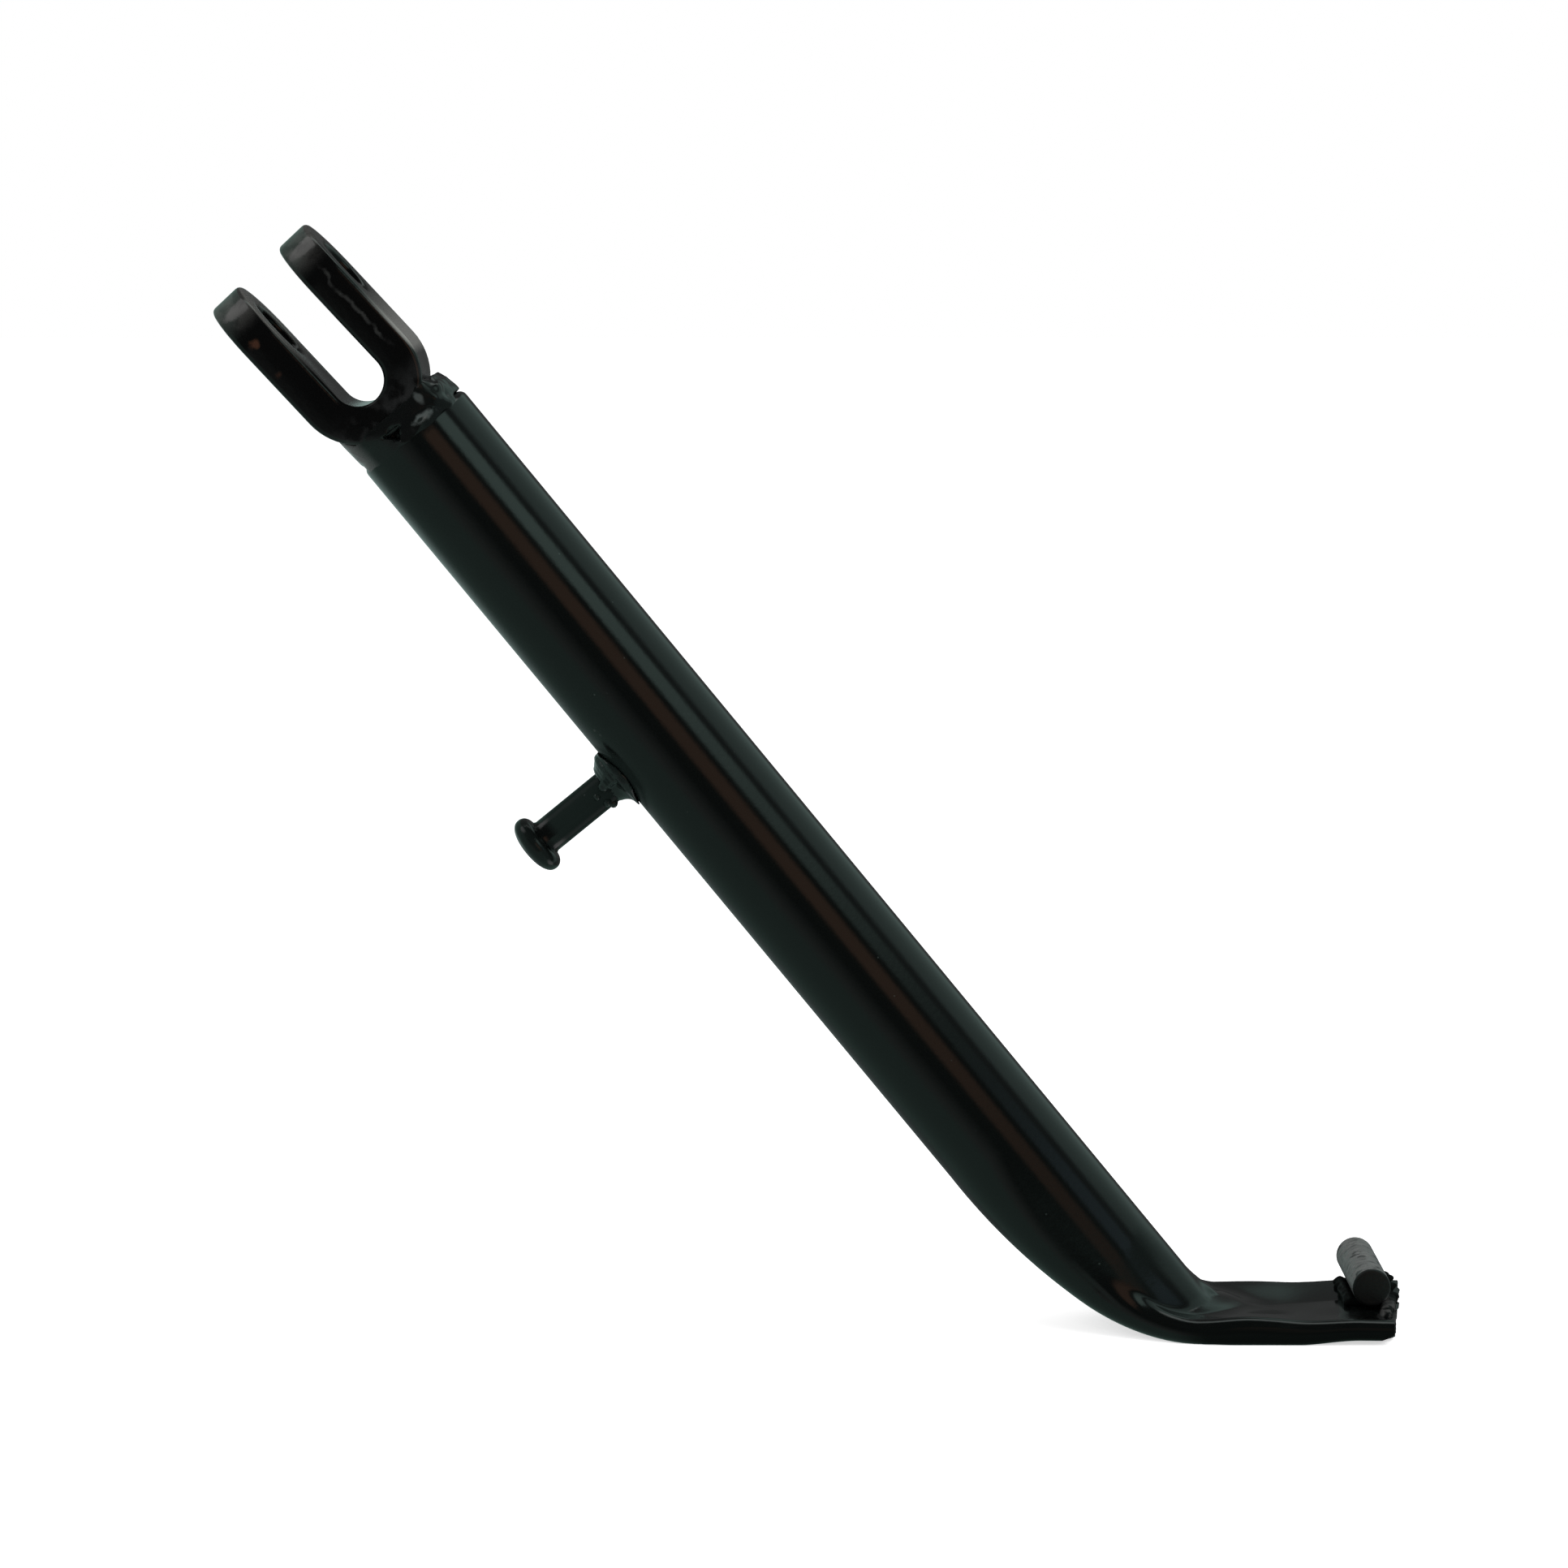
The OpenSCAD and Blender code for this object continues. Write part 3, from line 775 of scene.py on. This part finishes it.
class STAND_OT_fork(bpy.types.Operator):
    """Cuts one ear with its bore, bends half of the bar and mirrors it"""

    bl_idname = "stand.fork"
    bl_label = "Pivot fork"

    def execute(self, context):
        stand = sizes(context)
        fork = stand.fork
        half_width, half_gap = fork.width / 2, fork.gap / 2
        bend_drop = fork.slot_depth - half_gap
        bm = bmesh.new()
        circle = {"segments": ROUND_SEGMENTS, "matrix": Matrix.Rotation(QUARTER, 4, "Y")}
        rim = bmesh.ops.create_circle(bm, radius=half_width, **circle)["verts"]
        for v in rim:
            if v.co.z < 0:
                v.co /= max(abs(v.co.y) / half_width, -v.co.z / bend_drop)
        for side in (-1, 1):
            corner = Vector((0, side * half_width, -bend_drop))
            min(rim, key=lambda v: (v.co - corner).length).co = corner
        bmesh.ops.create_circle(bm, radius=fork.bore_radius, **circle)
        ear = bmesh.ops.bridge_loops(bm, edges=bm.edges[:])["faces"]
        bmesh.ops.translate(bm, verts=bm.verts, vec=(half_gap, 0, 0))
        out = bmesh.ops.extrude_face_region(bm, geom=ear, use_keep_orig=True)
        moved = [g for g in out["geom"] if isinstance(g, bmesh.types.BMVert)]
        bmesh.ops.translate(bm, verts=moved, vec=(fork.thickness, 0, 0))
        geom = []
        for f in flat_faces(bm, 2, -bend_drop):
            geom += [f, *f.edges, *f.verts]
        bmesh.ops.spin(
            bm, geom=list(dict.fromkeys(geom)), cent=(0, 0, -bend_drop), axis=(0, 1, 0), dvec=(0, 0, 0),
            angle=QUARTER, steps=16, use_merge=False, use_duplicate=False)
        bmesh.ops.remove_doubles(bm, verts=bm.verts, dist=NEAR / 10)
        spare = flat_faces(bm, 0, 0) + flat_faces(bm, 2, -bend_drop)
        bmesh.ops.delete(bm, geom=list(dict.fromkeys(spare)), context="FACES")
        bmesh.ops.mirror(bm, geom=bm.verts[:] + bm.edges[:] + bm.faces[:], axis="X", merge_dist=NEAR * 10)
        bmesh.ops.remove_doubles(bm, verts=bm.verts, dist=NEAR)
        bmesh.ops.recalc_face_normals(bm, faces=bm.faces)
        round_edges(bm, 50, fork.edge, clamp=True)
        place = fork_frame(stand)
        bmesh.ops.transform(bm, matrix=place, verts=bm.verts)

        def inner_face(graph, x):
            """Mask of the left ear's face in the slot."""
            return graph.span(graph.maths("ABSOLUTE", graph.maths("ADD", x, half_gap)), 0.6, 0.1)

        def marks_and_painted_light(graph, where):
            """Painted sheen in grey on the right face, the inner face and in patches on the tips; darker
            patches in the bend; a painted highlight along the vein; and primer.
            """
            x, y, z, turned = graph.axes(where, place)
            patchy = graph.ranged(graph.cloud(where, PATCHES, 4), 0.38, 0.62)
            # Painted sheen: grey on the right face towards the bend, on the inner face towards the top, and
            # in patches on the tips.
            right = graph.times(graph.span(x, 13.3, 14.1), graph.span(z, -4, -20, 0.9))
            left = graph.times(inner_face(graph, x), graph.span(z, -14, 4, 0.35))
            tips = graph.times(graph.span(z, 3, 12, 0.2), graph.maths("MULTIPLY_ADD", patchy, 0.6, 0.4))
            yield graph.most(right, left, tips), PAINTED_SHEEN_GREY
            # Darker in patches towards the bottom of the bend.
            yield graph.times(graph.span(z, -22, -31, 0.75), patchy), DARKER_BEND_PATCHES

            # A light line along the sheared vein, painted as the highlight that its ridge catches.
            wave = graph.node("TexNoise", "Fac", {"W": z, "Scale": 170, "Detail": 3}, noise_dimensions="1D")
            line = graph.maths("MULTIPLY_ADD", wave, 4 * MM, 8.6 * MM)
            off = graph.maths("ABSOLUTE", graph.maths("SUBTRACT", x, line))
            ends = graph.times(graph.span(z, -21, -17), graph.span(z, 6, 2))
            yield graph.times(
                graph.span(off, 0.65, 0.05, 0.14), graph.span(y, -12.2, -12.7), ends, patchy), PAINTED_VEIN_HIGHLIGHT
            for spot, radius, share in (((-10.6, -13, 0.8), 1.7, 0.3), ((-11.4, -13, -7.7), 0.6, 0.12)):
                yield graph.speck(turned, spot, radius, share), PRIMER

        def dull_slot(graph, where):
            """Mask of the slot's floor and the lower part of the inner face."""
            x, _, z, turned = graph.axes(where, place)
            reach = (half_gap / MM, 1000, half_gap / MM)
            low = graph.ranged(graph.oval(turned, (0, 0, -bend_drop / MM), reach), 1.14, 1.05, 0.7)
            return graph.most(low, graph.times(inner_face(graph, x), graph.span(z, -1, -14, 0.7)))

        paint = painted(
            "satin_black_paint", stand.paint.satin, stand.paint.satin_rough, peel=0.12, grain=700,
            marks_and_painted_light=marks_and_painted_light, dull=dull_slot)
        piece("fork", bm, paint, "satin_paint", "pivot_fork")
        return {"FINISHED"}


class STAND_OT_peg(bpy.types.Operator):
    """Turns the spring peg with its domed head"""

    bl_idname = "stand.peg"
    bl_label = "Spring peg"

    def execute(self, context):
        stand = sizes(context)
        peg, leg = stand.peg, stand.leg
        foot = leg.radius - leg.wall - peg.stub
        neck = leg.radius + peg.reach
        chamfer = 0.4 * MM
        profile = [(0, foot), (peg.radius - chamfer, foot), (peg.radius, foot + chamfer)]
        profile += [(peg.radius, foot + (neck - foot) * k / 12) for k in range(1, 12)]
        profile += [(peg.radius, neck - 0.8 * MM), (peg.radius + 0.3 * MM, neck - 0.2 * MM)]
        rim, dome = peg.head_rim, peg.head_thickness - peg.head_rim
        for k in range(11):
            a = QUARTER * k / 10
            profile.append((peg.head_radius - rim * (1 - math.sin(a)), neck + rim * (1 - math.cos(a))))
        for k in range(1, 17):
            a = QUARTER * k / 16
            out, up = max(math.cos(a), 0) ** 0.85, math.sin(a) ** 0.85
            profile.append((peg.head_radius * out, neck + rim + dome * up))
        profile[-1] = (0, profile[-1][1])
        bm = bmesh.new()
        turn_profile(bm, profile)
        place = peg_frame(stand)
        bmesh.ops.transform(bm, matrix=place, verts=bm.verts)
        head = place @ Vector((0, 0, neck + peg.head_thickness / 2))

        def dark_head(graph, where):
            yield graph.span(graph.away(where, head), 8, 6), stand.paint.gloss

        def dull_shank(graph, where):
            return graph.span(graph.away(where, head), 6, 8, 0.9)

        paint = painted(
            "peg_paint", stand.paint.peg, stand.paint.gloss_rough * 1.5, peel=0.1, grain=800,
            marks_and_painted_light=dark_head, dull=dull_shank)
        piece("peg", bm, paint, "gloss_paint", "spring_peg")
        return {"FINISHED"}


class STAND_OT_bar(bpy.types.Operator):
    """Cuts the toe bar, rounds its ends and dents its top"""

    bl_idname = "stand.bar"
    bl_label = "Toe bar"

    def execute(self, context):
        stand = sizes(context)
        bar = stand.bar
        low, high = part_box("toe_bar")
        middle = (low + high) / 2
        bm = bmesh.new()
        place = Matrix.Translation(middle) @ Matrix.Rotation(QUARTER, 4, "X")
        bmesh.ops.create_cone(
            bm, cap_ends=True, cap_tris=False, segments=ROUND_SEGMENTS, radius1=bar.radius,
            radius2=bar.radius, depth=bar.length, matrix=place)
        round_edges(bm, 60, bar.edge, clamp=False)
        long_edges = [e for e in bm.edges if e.calc_length() > bar.length / 2]
        bmesh.ops.subdivide_edges(bm, edges=long_edges, cuts=90, use_grid_fill=True)
        bm.normal_update()
        for v in bm.verts:
            if abs(v.co.y - middle.y) > bar.length / 2 - bar.edge:
                continue
            up = smoothstep(-0.2, 0.5, v.normal.z)
            # The marks are longer round the bar than along it.
            q = Vector((v.co.x * 330, v.co.y * 900, v.co.z * 330))
            pit = max(noise.noise(q) - 0.05, 0) + 0.5 * max(noise.noise(q * 2) - 0.15, 0)
            v.co -= v.normal * bar.dent * 3.6 * up * pit
        near_end = low.y / MM

        def wear(graph, where):
            """Dark specks painted as the shade of the hammer marks, and a dark near end."""
            flat = graph.node("Mapping", "Vector", {"Vector": where, "Scale": (0.45, 1, 0.45)})
            # Dark specks painted as the shade of the hammer marks.
            chips = graph.cloud(flat, 800, 3)
            yield graph.ranged(chips, 0.55, 0.66, 0.8), PAINTED_PIT_SHADE
            edge = graph.maths("MULTIPLY_ADD", chips, 1.4 * MM, graph.split(where)["Y"])
            yield graph.span(edge, near_end + 1.6, near_end + 1.2), BAR_END

        paint = painted("worn_bar_paint_with_painted_pit_shade", stand.paint.bar, rough=0.42, peel=0.35, grain=1500, marks_and_painted_light=wear)
        piece("bar", bm, paint, "worn_paint", "toe_bar")
        return {"FINISHED"}


def crater_share(q):
    """How far a place in the leg's frame lies inside the four straight sides of the weld's crater."""
    over = q.z - 2.3 * MM
    outside = max(
        over, -0.3 * MM - q.z, -0.72 * (q.x + 4.9 * MM) - 0.69 * over, 0.8 * (q.x + 0.6 * MM) - 0.6 * over)
    return smooth_mm(0.2, -0.2, outside)


def rear_ripple(q):
    """How far bowed ripples push the weld's rear out, as a share of its radius."""
    turn = math.atan2(q.y, q.x)
    bow = 0.17 * (q.z / MM - 2.6) ** 2
    behind = smooth_mm(-4, 5, q.y) * smooth_mm(-2.5, -0.5, q.z)
    return 0.011 * math.sin(turn * 44 + 1.1 * math.sin(turn * 9) + bow) * behind


class STAND_OT_fork_welds(bpy.types.Operator):
    """Lays the weld round the mouth of the tube as one bead with lumps and a crater"""

    bl_idname = "stand.fork_welds"
    bl_label = "Fork welds"

    def execute(self, context):
        stand = sizes(context)
        weld, leg = stand.weld, stand.leg
        place = leg_frame(stand)
        rows = [
            (10.6, -4, 3, 2.5), (10.7, -1, 3, 2.5), (10.5, 2, 3, 2.5), (9.6, -9, 3.4, 2.4),
            (2.4, -12.9, -0.1, 1.3), (3.4, -12.7, 0, 1.6), (4.4, -12.5, 0.1, 1.7), (5.4, -12.2, 0.2, 1.6),
            (6.6, -11.6, 0.2, 1.4), (7.6, -11.4, 6.8, 1.7), (8.4, -10.9, 6, 1.9), (7.8, -11.2, 4.6, 1.8),
            (8.2, -11, 3.2, 1.8), (8.7, -10.6, 1.8, 1.8), (9.4, -9.6, 0.4, 1.7), (10, -8.6, -0.8, 1.5),
            (6.6, -12.2, 4.6, 1.3),
        ]
        for k in range(42):
            around = math.radians(-152 + 2.8 * k)
            for turn in (around, -around):
                out = leg.radius / MM - 3.6 + 0.3 * noise.noise(Vector((turn * 5, 0.7, 0)))
                rows.append((out * math.cos(turn), out * math.sin(turn), -0.3, 3.9))
        runs = ["fork_weld_" + run for run in ("left", "right", "front", "rear")]
        bm = node_grains(runs, lumps_at(place, rows), weld.grain, rounds=9)
        back = place.inverted()
        lumpy(
            bm, 0, weld.lump, scale=190, seed=3.7,
            share=lambda co: 0.15 + 0.4 * smooth_mm(0, 9, (back @ co).x))
        fork_face, crater_floor, top = -stand.fork.width / 2, -11.2 * MM, 4 * MM
        for v in bm.verts:
            q = back @ v.co
            if q.y < -8 * MM:
                proud = 0.1 + 0.9 * smooth_mm(8, 1.5, q.z) + 2 * smooth_mm(1, 6, q.x)
                q.y = max(q.y, fork_face - proud * MM)
                q.y += max(crater_floor - q.y, 0) * crater_share(q)
            q.z -= 0.55 * max(q.z - top, 0) * smooth_mm(9, 11, q.x)
            v.co = place @ (q + Vector((q.x, q.y, 0)) * rear_ripple(q))

        def painted_light(graph, where):
            """Painted highlight on the left, and on the front painted highlights on facets with painted
            shade in a slit.
            """
            x, _, _, turned = graph.axes(where, place)
            # Painted highlight on the left side of the weld.
            yield graph.span(x, -9, -13.5, 0.55), PAINTED_WELD_HIGHLIGHT
            # Painted highlights on two facets, and painted shade in the slit of the first: spot, reach,
            # share and colour.
            cloud = graph.cloud(where, FINE_PATCHES, 4)
            for spot, reach, share, hue in (
                ((4.7, -13, 0.3), (3, 4, 1.2), 0.34, PAINTED_FACET_HIGHLIGHT),
                ((3.9, -13, 0.2), (1.2, 4, 0.5), 0.9, PAINTED_SLIT_SHADE),
                ((6.6, -13, 4.1), (1, 4, 1.6), 0.22, PAINTED_FACET_HIGHLIGHT),
            ):
                uneven = graph.maths("MULTIPLY_ADD", cloud, 1.4, graph.oval(turned, spot, reach))
                yield graph.ranged(uneven, 1.8, 1.1, share), hue

        def dull_face(graph, where):
            """Mask of a dull patch on the front."""
            turned = graph.axes(where, place)[3]
            return graph.ranged(graph.oval(turned, (6.8, -13, 3.2), (3, 5, 3.4)), 1.1, 0.7, 0.85)

        paint = painted(
            "weld_paint", stand.paint.weld, rough=0.22, peel=0.06, grain=500, marks_and_painted_light=painted_light, dull=dull_face)
        piece("fork_weld_bead", bm, paint, "weld_paint", *runs)
        return {"FINISHED"}


class STAND_OT_peg_weld(bpy.types.Operator):
    """Lays the weld collar round the peg"""

    bl_idname = "stand.peg_weld"
    bl_label = "Peg weld"

    def execute(self, context):
        stand = sizes(context)
        weld = stand.weld
        place, radius = peg_frame(stand), stand.leg.radius
        rows = [(0.1, -3.7, 6.3, 0.9), (0.9, -3.9, 3.9, 1), (-2.4, -3.1, 5.4, 0.9), (-3.6, -1.6, 4.6, 0.9)]
        for k in range(17):
            a = math.radians(-80 + 10 * k)
            for out, up in ((4.4, 2.4), (5.2, 1.6), (6, 0.8)):
                rows.append((out * math.cos(a), out * math.sin(a), up, 1.15))
        lumps = lumps_at(place @ Matrix.Translation((0, 0, radius)), rows)
        bm = node_grains(["spring_peg_weld"], lumps, weld.grain * 0.8, rounds=3)
        lumpy(bm, weld.swell * 0.4, weld.lump * 0.35, scale=240, seed=1.3)
        back = leg_frame(stand).inverted()
        outward = place.to_3x3() @ Vector((0, 0, 1))
        for v in bm.verts:
            q = back @ v.co
            clear = math.hypot(q.x, q.y) - radius
            v.co += outward * 0.35 * MM * smooth_mm(1.2, 0, clear) * smooth_mm(1, -3, q.y)
        paint = painted("peg_weld_paint", stand.paint.peg, rough=0.2, peel=0.1, grain=700)
        piece("peg_weld_bead", bm, paint, "weld_paint", "spring_peg_weld")
        return {"FINISHED"}


class STAND_OT_bar_welds(bpy.types.Operator):
    """Lays the two weld runs along the toe bar"""

    bl_idname = "stand.bar_welds"
    bl_label = "Toe bar welds"

    def execute(self, context):
        stand = sizes(context)
        weld = stand.weld
        low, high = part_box("toe_bar")
        middle, foot_top = (low.x + high.x) / 2, low.z

        def painted_light(graph, where):
            """Painted highlight in grey patches on the near end of the outer run."""
            x, y, _ = graph.split(where)
            past = graph.ranged(x, middle, middle + 1.5 * MM)
            patchy = graph.ranged(graph.cloud(where, FINE_PATCHES, 3), 0.4, 0.56)
            # Painted highlight on the near end of the outer run.
            yield graph.times(graph.span(y, 0, -6, 0.45), past, patchy), PAINTED_BAR_WELD_HIGHLIGHT

        paint = painted(
            "bar_weld_paint", stand.paint.weld, rough=0.5, peel=0.15, grain=700, marks_and_painted_light=painted_light, sheen=0.03)
        inner = [(-4.2, 16.5, -0.3, 1.5), (-4.6, 13, -0.3, 1.4), (-4.3, 9, -0.3, 1.3), (-4.3, 3, -0.3, 1.2)]
        outer = [
            (5.2, 17.5, 2.2, 1.9), (6.1, 15.5, 1.7, 1.7), (6.2, 11, 0.6, 1.6), (5, 7.6, -0.4, 1.4),
            (6.1, 3.6, -0.4, 1.5),
        ]
        for k in range(14):
            way = k / 13
            wave = 0.3 * noise.noise(Vector((k * 0.83, 2.6, 0)))
            outer.append((5 - 2.4 * way + wave, 1 - 14 * way, -0.45 - 0.65 * way, 1.55 - 0.2 * way))
        place = Matrix.Translation((middle, 0, foot_top))
        for run, rows, height in (("inner", inner, 0.35), ("outer", outer, 0.5)):
            lumps = lumps_at(place, rows)
            bm = node_grains(["toe_bar_weld_" + run], lumps, weld.grain * 0.8, rounds=3)
            lumpy(bm, weld.swell * 0.5, weld.lump * 0.7, scale=330, seed=5.1)
            for v in bm.verts:
                v.co.z -= max(v.co.z - foot_top, 0) * (1 - height)
            piece("bar_weld_bead_" + run, bm, paint, "weld_paint", "toe_bar_weld_" + run)
        return {"FINISHED"}


def tent_material():
    """Bands of pale cloth, dark room and warm wood round the leg, and a softbox that fades down along it."""
    material, graph = new_material("reflection_tent")
    where = graph.node("TexCoord", "Object")
    turn = graph.node("TexGradient", "Fac", {"Vector": where}, gradient_type="RADIAL")
    top, bottom = -0.3, 0.6
    run = graph.ranged(graph.split(where)["Z"], -top, -bottom, curve="LINEAR")

    def band(*stops):
        """Colours at these angles round the leg, in degrees."""
        return graph.ramp(turn, [(degrees / 360 + 0.5, hue) for degrees, hue in stops])

    def fade(*stops):
        """Colours or grey levels at these distances down along the leg, in metres."""
        hues = [(down, level if isinstance(level, tuple) else (level,) * 3) for down, level in stops]
        return graph.ramp(run, [((down - top) / (bottom - top), hue) for down, hue in hues])

    room, dim, back = (0, 0, 0), (0.06, 0.07, 0.07), (0.08, 0.083, 0.082)
    cloth, shade, edge = (0.15, 0.24, 0.21), (0.08, 0.12, 0.11), (0.16, 0.18, 0.17)
    wood, soft, pale, line = (0.36, 0.2, 0.13), (0.62, 0.88, 0.8), (0.3, 0.42, 0.39), (1.1, 1.25, 1.2)
    lit = room
    for strip, share in (
        (band((-180, dim), (-132, dim), (-112, cloth), (-44, cloth), (-32, edge), (-8, room), (70, room),
              (76, dim), (83, dim), (92, pale), (146, pale), (157, back), (180, back)),
         fade((-0.24, 0), (-0.14, 1), (0.4, 1), (0.52, 0))),
        (band((-180, cloth), (-46, cloth), (-20, room), (94, room),
              (105, line), (118, line), (130, back), (180, back)),
         fade((-0.24, 1), (-0.14, 0))),
        (band((-180, cloth), (0, cloth), (25, shade), (90, shade), (136, pale), (150, back), (180, back)),
         fade((-0.3, 0), (0.4, 0), (0.52, 1))),
        (band((-180, pale), (-132, pale), (-112, room), (180, room)),
         fade((-0.24, 0), (-0.14, 1), (0.04, 1), (0.14, 0.4), (0.3, 0.25), (0.45, 0))),
        (band((-180, room), (10, room), (17, wood), (34, wood), (41, room)),
         fade((-0.12, 0), (-0.04, 1), (0.3, 1), (0.44, 0.45), (0.5, 0))),
        (band((-180, room), (46, room), (52, soft), (70, soft), (76, room)),
         fade((-0.2, 0), (-0.1, 1), (0.06, 1), (0.15, 0.8), (0.246, 0.45), (0.337, 0.1),
              (0.4, (0.25, 0.25, 0.32)), (0.46, (0.28, 0.28, 0.36)), (0.5, 0))),
    ):
        lit = graph.node("VectorMath", "Vector", {0: strip, 1: share, 2: lit}, operation="MULTIPLY_ADD")
    graph.surface(graph.node("Emission", "Emission", {"Color": lit}))
    return material


def floor_material():
    """Pale floor that is white to the camera and keeps the stand's shadow."""
    material, graph = new_material("pale_floor")
    matt = graph.node("BsdfDiffuse", "BSDF", {"Color": (0.9, 0.9, 0.9, 1)})
    glow = graph.node("Emission", "Emission", {"Strength": graph.times(graph.seen(), 0.6)})
    graph.surface(graph.node("AddShader", "Shader", {0: matt, 1: glow}))
    return material


class STAND_OT_stage(bpy.types.Operator):
    """Sets the floor, the soft light, the reflection tent and the camera"""

    bl_idname = "stand.stage"
    bl_label = "Stage"

    def execute(self, context):
        stand = sizes(context)
        studio = stand.studio
        scene = context.scene
        scene.view_settings.view_transform = "Standard"

        world = bpy.data.worlds.new("studio")
        scene.world = world
        world.use_nodes = True
        graph = Graph(world.node_tree)
        back = world.node_tree.nodes["Background"]
        graph.feed(back.inputs["Color"], (1, 1, 1, 1))
        graph.feed(back.inputs["Strength"], graph.ranged(graph.seen(), 0, 1, 1, 0.6, "LINEAR"))

        bm = bmesh.new()
        bmesh.ops.create_grid(bm, x_segments=1, y_segments=1, size=6)
        floor = added("floor", mesh_of("floor", bm))
        floor.data.materials.append(floor_material())
        floor.location.z = -stand.leg.pivot_height
        floor.visible_glossy = False

        bm = bmesh.new()
        radius = studio.tent_radius
        bmesh.ops.create_cone(
            bm, cap_ends=False, segments=ROUND_SEGMENTS, radius1=radius, radius2=radius, depth=6)
        tent = added("tent", mesh_of("tent", bm))
        tent.data.materials.append(tent_material())
        lean = stand.leg.lean
        axis = Vector((-math.sin(lean), 0, math.cos(lean)))
        front = Vector((0, -1, 0))
        side = axis.cross(front)
        turned = Matrix((front, side, axis)).transposed().to_4x4()
        tent.matrix_world = Matrix.Translation(mouth_point(stand)) @ turned
        for ray in ("camera", "diffuse", "transmission", "volume_scatter", "shadow"):
            setattr(tent, "visible_" + ray, False)

        target = Vector((0.11, 0, -0.11))
        for name, spot, size, power in (
            ("key_softbox", (0.9, -0.9, 1.1), 0.9, 14),
            ("fill_softbox", (-1.0, -0.7, 0.7), 1.0, 7),
        ):
            data = bpy.data.lights.new(name, "AREA")
            data.size = size
            data.energy = power
            lamp = added(name, data)
            lamp.location = spot
            lamp.rotation_euler = (target - Vector(spot)).to_track_quat("-Z", "Y").to_euler()
            lamp.visible_glossy = False

        data = bpy.data.cameras.new("camera")
        data.lens = studio.lens
        data.sensor_width = 36
        data.clip_start = 0.01
        data.clip_end = 50
        camera = added("camera", data)
        camera.location = studio.eye
        camera.rotation_euler = (QUARTER - studio.pitch, 0, 0)
        scene.camera = camera
        return {"FINISHED"}


class STAND_PT_build(bpy.types.Panel):
    """Lists the steps that dress the side stand"""

    bl_idname = "STAND_PT_build"
    bl_label = "Side stand"
    bl_space_type = "VIEW_3D"
    bl_region_type = "UI"
    bl_category = "Side stand"

    def draw(self, context):
        for step in STEPS:
            self.layout.operator(step.bl_idname)
        for group in SideStand.__annotations__:
            values = getattr(sizes(context), group)
            box = self.layout.box()
            box.label(text=group.capitalize())
            for name in values.__annotations__:
                box.prop(values, name)


STEPS = (
    STAND_OT_stage, STAND_OT_leg, STAND_OT_fork, STAND_OT_peg, STAND_OT_bar,
    STAND_OT_fork_welds, STAND_OT_peg_weld, STAND_OT_bar_welds,
)
GROUPS = (
    ForkSizes, LegSizes, FootSizes, PegSizes, BarSizes, WeldLooks, PaintLooks, Studio, SideStand,
)
KINDS = GROUPS + STEPS + (STAND_PT_build,)


def register():
    for kind in KINDS:
        bpy.utils.register_class(kind)
    bpy.types.Scene.side_stand = PointerProperty(type=SideStand)


def unregister():
    del bpy.types.Scene.side_stand
    for kind in reversed(KINDS):
        bpy.utils.unregister_class(kind)


def main():
    register()
    bpy.ops.stand.stage()
    bpy.ops.stand.leg()
    bpy.ops.stand.fork()
    bpy.ops.stand.peg()
    bpy.ops.stand.bar()
    bpy.ops.stand.fork_welds()
    bpy.ops.stand.peg_weld()
    bpy.ops.stand.bar_welds()


if __name__ == "__main__":
    main()
